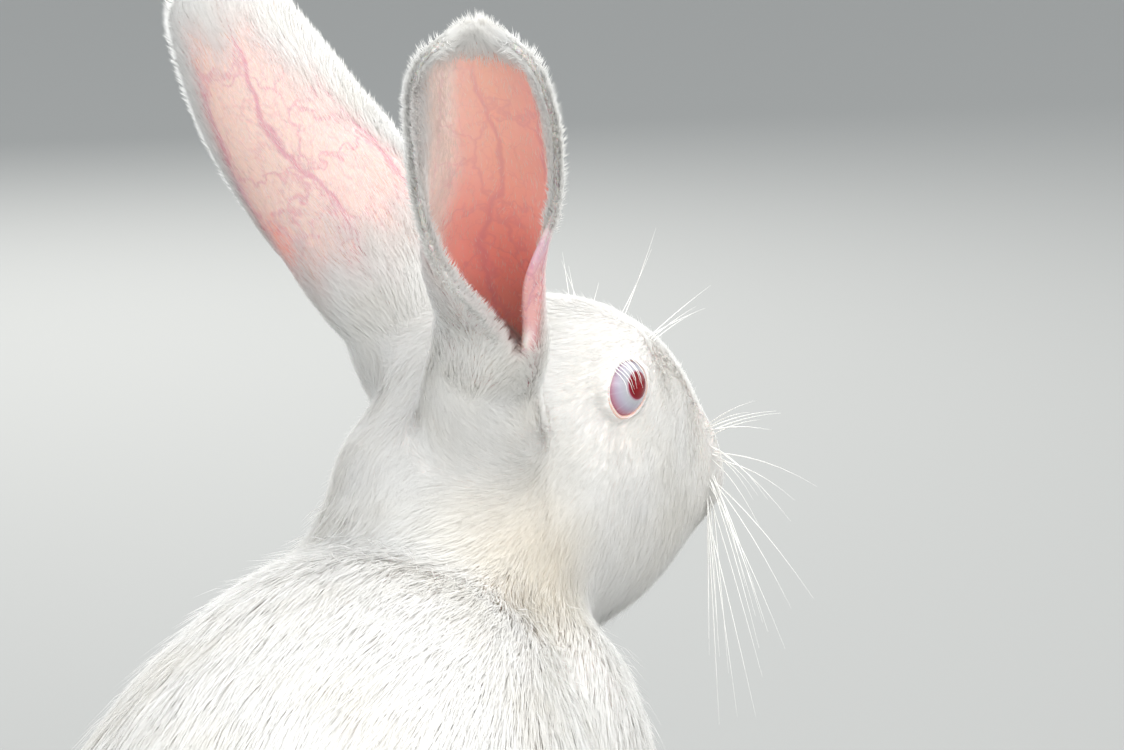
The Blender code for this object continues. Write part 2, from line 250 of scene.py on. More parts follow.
def gapNode(tree, where, place):
    # how far a spot on the surface is from a place
    gap = tree.nodes.new("ShaderNodeVectorMath")
    gap.operation = "DISTANCE"
    tree.links.new(where, gap.inputs[0])
    gap.inputs[1].default_value = place
    return gap.outputs["Value"]


def noiseNode(tree, where, scale, detail=2):
    cloud = tree.nodes.new("ShaderNodeTexNoise")
    cloud.inputs["Scale"].default_value = scale
    cloud.inputs["Detail"].default_value = detail
    tree.links.new(where, cloud.inputs["Vector"])
    return cloud


def rampNode(tree, value, stops):
    ramp = tree.nodes.new("ShaderNodeValToRGB")
    while len(ramp.color_ramp.elements) < len(stops):
        ramp.color_ramp.elements.new(0.5)
    for element, (spot, tone) in zip(ramp.color_ramp.elements, stops):
        element.position = spot
        element.color = (*tone, 1)
    tree.links.new(value, ramp.inputs["Fac"])
    return ramp.outputs["Color"]


deselectAll()
backWay, acrossWay = addCamera()
middle = onHead(0, 40, 0)
# each light: places across, back and up from the middle, size, colour
lights = {"key": (0.9, 0.1, 1.25, 0.9, (1, 0.99, 0.97)), "fill": (-1.3, 1.0, 0.7, 1.6, (0.96, 0.98, 1)),
          "front": (0.35, 1.6, 0.5, 1.3, (1, 1, 0.98)), "back": (-0.35, -1.5, 0.95, 0.8, (1, 0.98, 0.95))}
for name, (across, back, up, size, colour) in lights.items():
    place = middle + acrossWay * across + backWay * back + upWay * up
    addLight(f"{name}Light", place, middle, size, room[name], colour)
bpy.ops.mesh.primitive_plane_add(size=room["floor"], location=(0, 0, -0.0002))
floor = bpy.context.object
floor.name = "floor"
bpy.ops.object.transform_apply(location=True)
floorMaterial, _, _ = plainMaterial("paleFloor", Base_Color=(0.3, 0.305, 0.3, 1), Roughness=0.9)
floor.data.materials.append(floorMaterial)
world = bpy.data.worlds.new("softSky")
bpy.context.scene.world = world
world.use_nodes = True
world.node_tree.nodes["Background"].inputs["Color"].default_value = (0.95, 0.98, 1, 1)
world.node_tree.nodes["Background"].inputs["Strength"].default_value = room["sky"]
bpy.context.scene.view_settings.view_transform = "Standard"
print("camera, floor and light are in place")

# Ears and skin
ear = {"columns": 48, "rows": 96, "thickness": 1.5, "low": -6, "high": 118, "inset": 0.95, "top": 117.6,
       # the root swells out of the skull: height on the ear, radius
       "rootBalls": ((-9, 18), (0, 17.5), (8, 16.5), (15, 15), (20, 13.2)), "inFront": 12, "rootShare": 0.98,
       # shape: height, radius, turn towards the middle, turn outwards, bow, shift outwards
       "Right": {"root": (14, 18, 10), "tipWay": (0.375, -0.31, 0.85), "openWay": (0.766, -0.643, 0),
                 "length": 0.975, "breadth": 1.04, "curl": 1.0, "flare": 0.12,
                 "flap": (0.28, 0.62), "rim": 5.5, "furUp": 0.22,
                 "shape": ((-6, 9.0, 196, 168, 1, 0), (4, 10.6, 200, 162, 0.5, 0.6),
                           (13, 11.3, 204, 156, 0, 1.6), (23, 11.8, 206, 150, 0, 2.6),
                           (35, 11.4, 200, 145, 0.5, 3), (43, 12.2, 190, 146, 0.7, 2.4),
                           (51, 13.0, 176, 145, 1, 1.8), (58, 13.4, 153, 142, 1.5, 1.9),
                           (65, 13.9, 126, 131, 1.8, 2.2), (74, 15.0, 97, 112, 2.2, 2.4),
                           (84, 16.2, 74, 92, 3, 1.5), (98, 17.0, 62, 77, 4, 0.5),
                           (106, 16.2, 61, 71, 4.7, 0), (112, 14.6, 60, 67, 5.3, 0),
                           (115.5, 12.2, 58, 62, 5.7, 0), (117.5, 9, 55, 58, 5.9, 0),
                           (118, 7, 53, 54, 6, 0))},
       "Left": {"root": (-13, 21, 10), "tipWay": (-0.35, -0.36, 0.87), "openWay": (-0.766, 0.643, 0),
                "length": 0.95, "breadth": 1.16, "curl": 0.94, "flare": -0.2,
                "flap": (2, 3), "rim": 7.5, "furUp": 0,
                "shape": ((-6, 6.6, 184, 184, 1, 0), (4, 8.2, 183, 183, 0.5, 0), (13, 10.2, 182, 182, 0, 0),
                          (23, 12.4, 172, 170, 0, 0), (35, 14.8, 150, 142, 0.5, 0),
                          (47, 16.5, 112, 114, 1, 0), (59, 17.8, 84, 101, 1.5, 0), (71, 18.4, 68, 93, 2, 0),
                          (84, 18.2, 62, 85, 3, 0), (98, 16.8, 59, 75, 4, 0), (106, 15.4, 60, 70, 4.7, 0),
                          (112, 13.4, 58, 66, 5.3, 0), (115.5, 11, 56, 60, 5.7, 0),
                          (117.5, 8, 53, 55, 5.9, 0), (118, 6.5, 50, 50, 6, 0))}}


def earWays(plan):
    # towards the ear's tip, out of its opening and away from the other ear
    turn = np.array([sideWay, noseWay, upWay])
    along = unit(np.array(plan["tipWay"]) @ turn)
    opening = np.array(plan["openWay"]) @ turn
    opening = unit(opening - along * (opening @ along))
    return along, opening, np.cross(along, opening)


skin = {"seal": 0.3, "voxel": 1.95, "evening": 10, "polish": 6, "shrinkSteps": 6,
        "depth": {"head": 2.1, "neck": 5.0, "trunk": 4.0, "tail": 4.0, "fore_leg": 3.8, "fore_paw": 2.2,
                  "hind_leg": 5.4, "hind_foot": 2.4, "eye": 1.0},
        "eyeBall": 9.2, "lid": 1.5, "lidThickness": 0.8, "lidGap": 0.15, "opening": (6.3, 7.4),
        "openingTurn": 5, "nostrilLean": 28,
        # nostril, slit under the nose and mouth: side, forward, up, then half the width, depth and height
        "faceCuts": ((4.0, 107, -20, 0.9, 4.0, 2.3), (0, 108.5, -28, 0.5, 3.5, 5.5),
                     (0, 98, -37.5, 8.0, 9.0, 0.8))}


def nearestNode(places):
    # which CAD part each place of the skin lies on
    names = flesh + ["eye_right", "eye_left"]
    tree = KDTree(sum(len(frame["nodes"][name].data.vertices) for name in names))
    owners = []
    for number, name in enumerate(names):
        for place in coordinates(frame["nodes"][name].data):
            tree.insert(place, len(owners))
            owners.append(number)
    tree.balance()
    return names, np.array([owners[tree.find(place)[1]] for place in places])


def addBall(piece, centre, radius):
    bpy.ops.mesh.primitive_uv_sphere_add(segments=32, ring_count=20, radius=radius * mm, location=centre)
    bpy.ops.object.transform_apply()
    piece.select_set(True)
    bpy.context.view_layer.objects.active = piece
    bpy.ops.object.join()


def makeSkin():
    deselectAll()
    for name in flesh:
        frame["nodes"][name].select_set(True)
    bpy.context.view_layer.objects.active = frame["nodes"]["trunk"]
    bpy.ops.object.duplicate()
    copies = bpy.context.selected_objects
    for copy in copies:
        copy.parent = None
        for key in list(copy.keys()):
            del copy[key]
    bpy.ops.object.join()
    piece = bpy.context.object
    piece.name = piece.data.name = "skin"
    editAll(piece, bpy.ops.mesh.remove_doubles, threshold=0.00001)
    addModifier(piece, "DISPLACE", strength=skin["seal"] * mm, mid_level=0)
    for centre in (eyeRight, eyeLeft):
        addBall(piece, centre, skin["eyeBall"] + skin["lid"])
    for name, hand in sides:
        along, opening, _ = earWays(ear[name])
        for height, radius in ear["rootBalls"]:
            spot = along * height * ear[name]["length"] + opening * ear["inFront"] * ear[name]["breadth"]
            root = np.array(onHead(*ear[name]["root"]))
            addBall(piece, root + spot * mm, radius * ear[name]["breadth"] * ear["rootShare"])
    addModifier(piece, "REMESH", mode="VOXEL", voxel_size=skin["voxel"] * mm)
    keepOuter(piece)
    mesh = piece.data
    pairs = edgePairs(mesh)
    places = relaxed(coordinates(mesh), pairs, skin["evening"])
    setCoordinates(mesh, places)
    names, owners = nearestNode(places)
    depths = np.array([next(value for part, value in skin["depth"].items() if name.startswith(part))
                       for name in names])
    depth = relaxed(depths[owners], pairs, 40)
    head = headParts(places)
    for centre in (eyeRight, eyeLeft):
        away = np.linalg.norm(places - np.array(centre), axis=1) / mm
        depth = np.minimum(depth, 0.6 + 2.4 * smoothStep(11, 24, away) + np.maximum(0, away - 24) * 0.3)
    away = np.linalg.norm(head - noseTip, axis=1)
    depth = np.minimum(depth, 0.5 + 2.2 * smoothStep(6, 26, away) + np.maximum(0, away - 26) * 0.2)
    depth = relaxed(depth, pairs, 6)
    steps = skin["shrinkSteps"]
    for _ in range(steps):
        places = places - vertexNormals(mesh) * depth[:, None] * mm / steps
        places = relaxed(places, pairs, 1, 0.3)
        places[:, 2] = np.maximum(places[:, 2], 0.0004)
        setCoordinates(mesh, places)
    addModifier(piece, "REMESH", mode="VOXEL", voxel_size=skin["voxel"] * mm)
    keepOuter(piece)
    places = relaxed(coordinates(mesh), edgePairs(mesh), skin["polish"], 0.4)
    for _, centre, hand in eyeSpots:
        places = hugEye(places, np.array(centre), hand)
    setCoordinates(mesh, places)
    return piece


def hugEye(places, centre, hand):
    # round the eye the skin follows the ball, and leaves it softly
    away = places - centre
    reach = np.linalg.norm(away, axis=1)
    turn = np.degrees(np.arccos(np.clip(away @ np.array(sideWay) * hand / reach, -1, 1)))
    share = (1 - smoothStep(52, 88, turn)) * (reach < 22 * mm)
    target = (skin["eyeBall"] + skin["lidThickness"]) * mm
    return centre + away * (1 + share * (target / reach - 1))[:, None]


def keepOuter(piece):
    # voxels can leave a bubble inside, which goes
    pick(piece)
    top = int(np.argmax(coordinates(piece.data)[:, 2]))
    bpy.ops.object.mode_set(mode="EDIT")
    bpy.ops.mesh.select_mode(type="VERT")
    bpy.ops.mesh.select_all(action="DESELECT")
    bpy.ops.object.mode_set(mode="OBJECT")
    piece.data.vertices[top].select = True
    bpy.ops.object.mode_set(mode="EDIT")
    bpy.ops.mesh.select_linked()
    bpy.ops.mesh.select_all(action="INVERT")
    bpy.ops.mesh.delete(type="VERT")
    bpy.ops.object.mode_set(mode="OBJECT")


def turned(forwardWay, upward):
    # a frame that looks along forwardWay with its own up near upward
    forwardWay = forwardWay.normalized()
    right = upward.cross(forwardWay).normalized()
    return Matrix((right, forwardWay.cross(right), forwardWay)).transposed().to_4x4()


def cutWith(piece, cutter, way="DIFFERENCE"):
    addModifier(piece, "BOOLEAN", object=cutter, operation=way, solver="MANIFOLD")
    bpy.data.objects.remove(cutter)


def openLids(piece, centre, hand):
    radius = (skin["eyeBall"] + skin["lidGap"]) * mm
    bpy.ops.mesh.primitive_uv_sphere_add(segments=64, ring_count=40, radius=radius, location=centre)
    cutWith(piece, bpy.context.object)
    facing = Matrix.Translation(centre) @ turned(sideWay * hand, upWay)
    bpy.ops.mesh.primitive_cylinder_add(vertices=48, radius=1, depth=1)
    cutter = bpy.context.object
    for vertex in cutter.data.vertices:
        angle = math.atan2(vertex.co.y, vertex.co.x)
        vertex.co = facing @ almondPoint(angle, hand, 4 + 14 * (vertex.co.z + 0.5))
    editAll(cutter, bpy.ops.mesh.normals_make_consistent, inside=False)
    cutWith(piece, cutter)


def almondPoint(angle, hand, reach):
    # the lids' edge, round in front and drawn to a corner at the back
    wide, tall = skin["opening"]
    across, rise = (math.copysign(abs(part) ** 0.9, part) for part in (math.cos(angle), math.sin(angle)))
    corner = max(0.0, -across) ** 3
    tilt = math.radians(skin["openingTurn"]) * corner
    spot = Vector((across * wide * (1 + 0.10 * corner) + 0.5, rise * tall * (1 - 0.12 * corner), 0))
    spot.rotate(Matrix.Rotation(tilt, 3, "Z"))
    return Vector((spot.x * hand, spot.y, reach)) * mm


def cutFace(piece):
    # nostrils, the slit under the nose and the mouth
    for side, forward, up, wide, deep, tall in skin["faceCuts"]:
        for hand in ((1, -1) if side else (1,)):
            bpy.ops.mesh.primitive_uv_sphere_add(segments=24, ring_count=14, radius=1)
            cutter = bpy.context.object
            cutter.data.transform(Matrix.Diagonal((wide * mm, deep * mm, tall * mm, 1)))
            frameHere = Matrix((sideWay, noseWay, upWay)).transposed().to_4x4()
            lean = Matrix.Rotation(math.radians(skin["nostrilLean"] * hand if side else 0), 4, "Y")
            cutter.data.transform(Matrix.Translation(onHead(side * hand, forward, up)) @ frameHere @ lean)
            cutWith(piece, cutter)


skinPiece = makeSkin()
for _, centre, hand in eyeSpots:
    openLids(skinPiece, centre, hand)
cutFace(skinPiece)
pick(skinPiece)
bpy.ops.object.shade_smooth()
editAll(skinPiece, bpy.ops.uv.smart_project, angle_limit=1.15, island_margin=0.002)
skinPiece.data.uv_layers[0].name = "OFBake"
print("skin", len(skinPiece.data.polygons), "faces")


def smoothTable(table, spots):
    # a table's columns at any height, on smooth curves through its rows
    rows = np.array(table, float)
    along = np.interp(spots, rows[:, 0], np.arange(len(rows)))
    first = np.clip(along.astype(int), 0, len(rows) - 2)
    t = (along - first)[:, None]
    before, start, end, after = (rows[np.clip(first + step, 0, len(rows) - 1)] for step in (-1, 0, 1, 2))
    return 0.5 * (2 * start + (end - before) * t + (2 * before - 5 * start + 4 * end - after) * t ** 2
                  + (3 * start - before - 3 * end + after) * t ** 3)


def earPlaces(plan, across, height):
    # the middle of the ear's wall: across runs from -1, towards the other ear, to 1
    along, opening, outWay = earWays(plan)
    _, radius, inner, outer, bow, shift = smoothTable(plan["shape"], height).T
    radius = radius * plan["breadth"] * (1 + plan["flare"] * (height / ear["high"] - 0.5))
    angle = np.radians(np.where(across < 0, inner, outer) * plan["curl"] * across)
    outward = np.outer(np.sin(angle), outWay) - np.outer(np.cos(angle), opening)
    return (np.array(onHead(*plan["root"])) + (np.outer(height * plan["length"], along)
            + np.outer(bow + radius, opening) + np.outer(shift, outWay) + outward * radius[:, None]) * mm)


def makeEar(name):
    plan = ear[name]
    deselectAll()
    bpy.ops.mesh.primitive_grid_add(x_subdivisions=ear["columns"], y_subdivisions=ear["rows"], size=1)
    piece = bpy.context.object
    piece.name = piece.data.name = f"ear{name}"
    grid = coordinates(piece.data)
    height = np.interp(grid[:, 1], (-0.5, 0.5), (ear["low"], ear["top"]))
    setCoordinates(piece.data, earPlaces(plan, grid[:, 0] * 2 * ear["inset"], height))
    setCoordinates(piece.data, relaxed(coordinates(piece.data), edgePairs(piece.data), 3, 0.4))
    piece.data.uv_layers[0].name = "earMap"
    for _ in range(3):
        piece.data.materials.append(None)
    addModifier(piece, "SOLIDIFY", thickness=ear["thickness"] * mm, offset=0, material_offset=1,
                material_offset_rim=2)
    bpy.ops.object.shade_smooth()
    return piece


ears = {name: makeEar(name) for name, _ in sides}
print("ears", [len(piece.data.polygons) for piece in ears.values()])

# Eyes
eye = {"radius": 9.2, "bulge": 0.55, "bulgeWidth": 0.62, "segments": 96, "rings": 72, "forwardTurn": 12.5,
       "upTurn": 7, "lidRim": 0.36, "lidRimOut": 0.35, "lidRimPoints": 72}


def makeEye(name, centre, hand):
    deselectAll()
    bpy.ops.mesh.primitive_uv_sphere_add(segments=eye["segments"], ring_count=eye["rings"],
                                         radius=eye["radius"] * mm)
    piece = bpy.context.object
    piece.name = piece.data.name = f"eyeball{name}"
    mesh = piece.data
    places = coordinates(mesh)
    ways = unit(places)
    tilt = np.arccos(np.clip(ways[:, 2], -1, 1))
    spin = np.arctan2(ways[:, 1], ways[:, 0])
    flat = 0.5 + (tilt / math.pi * 0.5)[:, None] * np.stack([np.cos(spin) * hand, np.sin(spin)], 1)
    corners = np.empty(len(mesh.loops), np.int32)
    mesh.loops.foreach_get("vertex_index", corners)
    mesh.uv_layers[0].name = "eyeMap"
    mesh.uv_layers[0].data.foreach_set("uv", flat[corners].astype(np.float32).ravel())
    places += ways * (eye["bulge"] * np.exp(-(tilt / eye["bulgeWidth"]) ** 2))[:, None] * mm
    setCoordinates(mesh, places)
    forward, up = math.radians(eye["forwardTurn"]), math.radians(eye["upTurn"])
    level = sideWay * hand * math.cos(forward) + noseWay * math.sin(forward)
    gaze = level * math.cos(up) + upWay * math.sin(up)
    mesh.transform(Matrix.Translation(centre) @ turned(gaze, upWay))
    bpy.ops.object.shade_smooth()
    return piece


eyes = {name: makeEye(name, centre, hand) for name, centre, hand in eyeSpots}


def curvePiece(curve):
    # turns a curve into a smooth mesh piece of the same name
    piece = bpy.data.objects.new(curve.name, curve)
    bpy.context.collection.objects.link(piece)
    pick(piece)
    bpy.ops.object.convert(target="MESH")
    bpy.ops.object.shade_smooth()
    return bpy.context.object


def makeLidRim(name, centre, hand):
    # the bare wet edge of both lids
    facing = Matrix.Translation(centre) @ turned(sideWay * hand, upWay)
    curve = bpy.data.curves.new(f"lidRim{name}", "CURVE")
    curve.dimensions = "3D"
    curve.bevel_depth = eye["lidRim"] * mm
    curve.bevel_resolution = 4
    line = curve.splines.new("POLY")
    count = eye["lidRimPoints"]
    line.points.add(count - 1)
    line.use_cyclic_u = True
    for number, point in enumerate(line.points):
        angle = number / count * 2 * math.pi
        spot = almondPoint(angle, hand, 0)
        reach = (eye["radius"] + eye["lidRimOut"]) * mm
        spot.z = math.sqrt(reach ** 2 - spot.x ** 2 - spot.y ** 2)
        point.co = (*(facing @ spot), 1)
        point.radius = 0.9 + 0.5 * max(0.0, -math.sin(angle)) + 0.3 * max(0.0, -math.cos(angle))
    return curvePiece(curve)


lidRims = {name: makeLidRim(name, centre, hand) for name, centre, hand in eyeSpots}
print("eyes and lids")

# The coat's colours
# each stain or patch of painted shade: name, place on the head (side, forward, up), size, colour, strength
stainsAndPitShade = (("cheek", (28, 14, -36), 34, (0.96, 0.88, 0.74), 0.34),
          ("cheek", (-28, 14, -36), 34, (0.96, 0.88, 0.74), 0.34),
          ("throat", (14, 20, -58), 30, (0.92, 0.86, 0.74), 0.3),
          ("earFront", (22, 24, 14), 7, (0.85, 0.72, 0.50), 0.4),
          ("nose", (0, 110, -20), 7, (0.86, 0.52, 0.46), 0.75),
          ("lips", (0, 104, -36), 8, (0.85, 0.56, 0.50), 0.5),
          # painted shade: dark red deep in the pits of the ears
          ("pitShade", (33.5, 1.7, 28.5), 11, (0.60, 0.20, 0.16), 1),
          ("pitShade", (-33.4, 19.9, 33.5), 12, (0.60, 0.20, 0.16), 1))
coatWhite, coatCream = (0.98, 0.975, 0.962), (0.955, 0.943, 0.915)


def paintCoat(tree):
    # white with the same warm stains and painted pit shade on skin and fur; returns the colour socket
    where = tree.nodes.new("ShaderNodeTexCoord").outputs["Object"]
    cloud = noiseNode(tree, where, 38, 3).outputs["Fac"]
    colour = mixNode(tree, fadeNode(tree, cloud, 0.45, 0.75, way="LINEAR"), coatWhite, coatCream)
    for _, place, size, tone, strength in stainsAndPitShade:
        gap = gapNode(tree, where, onHead(*place))
        colour = mixNode(tree, fadeNode(tree, gap, size * mm, size * mm * 0.25, strength), colour, tone)
    return colour


def coatMaterial(name, through):
    # through: the share of the light that comes through each hair
    material, tree, shader = plainMaterial(name, Roughness=0.75, Specular_IOR_Level=0.25, Sheen_Weight=0.15)
    links, nodes = tree.links, tree.nodes
    # the shade colour: each hair's own tone, its painted darker roots and, on the ears, a painted pink glow
    shade = nodes.new("ShaderNodeAttribute")
    shade.attribute_name = "shade"
    colour = mixNode(tree, 1.0, paintCoat(tree), shade.outputs["Color"], "MULTIPLY")
    links.new(colour, shader.inputs["Base Color"])
    lit = nodes.new("ShaderNodeBsdfTranslucent")
    links.new(colour, lit.inputs["Color"])
    both = nodes.new("ShaderNodeMixShader")
    both.inputs["Fac"].default_value = through
    links.new(shader.outputs["BSDF"], both.inputs[1])
    links.new(lit.outputs["BSDF"], both.inputs[2])
    links.new(both.outputs["Shader"], nodes["Material Output"].inputs["Surface"])
    return material


def skinMaterial():
    material, tree, shader = plainMaterial("paleSkin", Roughness=0.6, Subsurface_Weight=0.15,
                                           Subsurface_Scale=0.004)
    colour = mixNode(tree, 0.3, paintCoat(tree), (0.84, 0.62, 0.55))
    tree.links.new(colour, shader.inputs["Base Color"])
    return material


fur, earHair = coatMaterial("whiteFur", 0.5), coatMaterial("whiteEarFur", 0.2)
bareSkin = skinMaterial()
skinPiece.data.materials.clear()
skinPiece.data.materials.append(bareSkin)

# The coat
# per region: strands for each square millimetre, length, width, lift at the tip, steps, share that clumps
coat = {"head": (11.0, 6.0, 0.19, 1.4, 1, 0.3), "neck": (3.0, 15, 0.24, 3.4, 2, 0.12),
        "trunk": (1.6, 22, 0.33, 2.3, 2, 0.05), "tail": (4.5, 8.5, 0.30, 4.5, 2, 0.06),
        "fore_leg": (2.0, 13, 0.28, 3.2, 2, 0.12), "fore_paw": (6.5, 5.5, 0.24, 1.8, 1, 0.2),
        "hind_leg": (1.6, 19, 0.32, 3.6, 2, 0.1), "hind_foot": (5.0, 6.5, 0.26, 2.0, 1, 0.2),
        "eye": (11.0, 3.6, 0.17, 0.9, 1, 0.15)}
coatParts = ("thick", "length", "width", "lift", "steps", "clump")
coat = {region: dict(zip(coatParts, values)) for region, values in coat.items()}
guardHair = {"share": 0.02, "lift": 2.1}               # a few hairs stand out of the coat
most = 190000                                         # triangles in one piece of the coat
tuftPatch = 0.003                                     # how wide a tuft is on the flat map

# which way the fur lies: places and ways on the head as side, forward, up
headCombing = (((0, 110, -14), (0, -0.5, 1)), ((0, 98, 2), (0, -1, 0.6)), ((0, 80, 17), (0, -1, 0.5)),
               ((0, 60, 28), (0, -1, 0.1)), ((0, 30, 28), (0, -1, -0.1)), ((17, 62, 20), (0.2, -1, 0.15)),
               ((14, 84, 6), (0.3, -1, 0.1)), ((24, 76, -6), (0.3, -0.6, -0.6)),
               ((14, 100, -18), (0.6, -0.8, -0.3)), ((12, 98, -34), (0.3, -0.5, -0.9)),
               ((22, 80, -26), (0.2, -0.4, -1)), ((28, 62, -28), (0.1, -0.35, -1)),
               ((28, 46, -30), (0.1, -0.6, -1)), ((29, 32, -20), (0.1, -1, -0.6)),
               ((28, 36, 4), (0.1, -1, -0.25)), ((20, 36, 20), (0.2, -1, -0.05)),
               ((10, 70, -60), (0.1, -0.6, -0.7)), ((12, 40, -62), (0.1, -0.5, -0.9)),
               ((0, 92, -48), (0, -0.7, -0.6)), ((22, 12, -36), (0, -0.9, -0.7)),
               ((20, 8, -10), (0.1, -1, -0.6)), ((0, 4, 6), (0, -0.8, -0.8)),
               ((28, 14, 4), (0.15, -0.25, 1)), ((16, 2, 6), (0.1, -0.5, 0.9)),
               ((14, 32, 20), (0, -0.6, 0.8)), ((22, 6, -6), (0.2, -0.8, 0.3)))
# the same for the body, in millimetres and with the nose towards -Y
bodyCombing = (((-10, -60, 190), (0, 0.7, -0.8)), ((0, -20, 195), (0, 0.9, -0.5)), ((0, 0, 205), (0, 1, 0)),
               ((0, 80, 205), (0, 1, -0.1)), ((0, 150, 150), (0, 0.7, -0.7)),
               ((60, 20, 140), (0.1, 0.8, -0.6)), ((70, 80, 120), (0.1, 0.8, -0.6)),
               ((45, -50, 140), (0.1, 0.35, -0.95)), ((0, -100, 150), (0, -0.15, -1)),
               ((-20, -110, 110), (0, 0, -1)), ((20, -110, 110), (0, 0, -1)), ((0, -110, 60), (0, 0.4, -1)),
               ((0, 0, 12), (0, 1, 0)), ((0, 80, 12), (0, 1, 0)), ((80, 70, 80), (0.1, 0.6, -0.8)),
               ((60, 130, 70), (0, 0.5, -0.9)), ((0, 175, 90), (0, 0.4, -0.9)),
               ((0, 180, 60), (0, 0.6, 0.8)), ((0, 190, 90), (0, -0.2, 1)), ((60, -50, 60), (0, 0.2, -1)),
               ((30, -100, 14), (0, -1, -0.2)), ((66, 60, 16), (0, -1, -0.1)),
               ((66, -10, 16), (0, -1, -0.2)))


def combed(places):
    # the lie of the fur at each place, from the nearest combing strokes
    spots, ways = [], []
    turn = np.array([sideWay, noseWay, upWay])
    for spot, way in headCombing:
        for hand in ((1, -1) if spot[0] else (1,)):
            spots.append(onHead(spot[0] * hand, *spot[1:]))
            ways.append(np.array((way[0] * hand, *way[1:])) @ turn)
    for spot, way in bodyCombing:
        for hand in ((1, -1) if spot[0] else (1,)):
            spots.append(np.array((spot[0] * hand, *spot[1:])) * mm)
            ways.append(np.array((way[0] * hand, *way[1:])))
    spots, ways = np.array(spots, float), unit(np.array(ways, float))
    gaps = np.linalg.norm(places[:, None] - spots[None], axis=2) / mm
    share = 1 / (gaps + 4) ** 3.2
    return unit(share @ ways)


def surfaceOf(piece):
    # triangles with their corners' places, normals and flat map
    mesh = piece.data
    mesh.calc_loop_triangles()
    count = len(mesh.loop_triangles)
    corners, loops = np.empty(count * 3, np.int32), np.empty(count * 3, np.int32)
    mesh.loop_triangles.foreach_get("vertices", corners)
    mesh.loop_triangles.foreach_get("loops", loops)
    flat = np.empty(len(mesh.loops) * 2, np.float32)
    mesh.uv_layers["OFBake"].data.foreach_get("uv", flat)
    places, normals = coordinates(mesh), vertexNormals(mesh)
    corners = corners.reshape(-1, 3)
    a, b, c = places[corners].transpose(1, 0, 2)
    area = np.linalg.norm(np.cross(b - a, c - a), axis=1) / 2 / mm ** 2
    return {"corners": corners, "places": places, "normals": normals, "area": area,
            "flat": flat.reshape(-1, 2)[loops.reshape(-1, 3)]}


def scatter(surface, thickness):
    # random roots, `thickness` to a square millimetre at each corner
    weight = thickness[surface["corners"]].mean(1) * surface["area"]
    count = int(weight.sum())
    total = np.cumsum(weight)
    face = np.searchsorted(total, rng.random(count) * total[-1])
    first, second = np.sqrt(rng.random(count)), rng.random(count)
    share = np.stack([1 - first, first * (1 - second), first * second], 1)
    return np.minimum(face, len(total) - 1), share


def mixed(values, corners, share):
    return (values[corners] * share.reshape(*share.shape, *([1] * (values.ndim - 1)))).sum(1)


def growStrands(tree, roots, normals, ways, length, lift, steps):
    # each strand walks over the skin and rises from it towards its tip
    paths = [roots]
    ground, up = roots, normals
    for step in range(steps):
        ways = unit(ways - up * (ways * up).sum(1, keepdims=True))
        reach = ground + ways * (length / steps)[:, None]
        found = [tree.find_nearest(place) for place in reach.tolist()]
        ground = np.array([hit[0] for hit in found])
        up = unit(up * 0.4 + np.array([hit[1] for hit in found]) * 0.6)
        t = (step + 1) / steps
        paths.append(ground + up * (lift * (1 - (1 - t) ** 1.6))[:, None])
    return np.stack(paths, 1)


def clumped(paths, share, every):
    # tips lean together on every so many-th strand
    guides = rng.choice(len(paths), max(1, len(paths) // every), replace=False)
    tree = KDTree(len(guides))
    for number, place in enumerate(paths[guides, 0].tolist()):
        tree.insert(place, number)
    tree.balance()
    mates = guides[[tree.find(place)[1] for place in paths[:, 0].tolist()]]
    t = np.linspace(0, 1, paths.shape[1])[None, :, None] ** 1.3
    return paths + (paths[mates] - paths) * t * share[:, None, None]


def store(layer, kind, values):
    layer.data.foreach_set(kind, values.astype(np.float32).ravel())


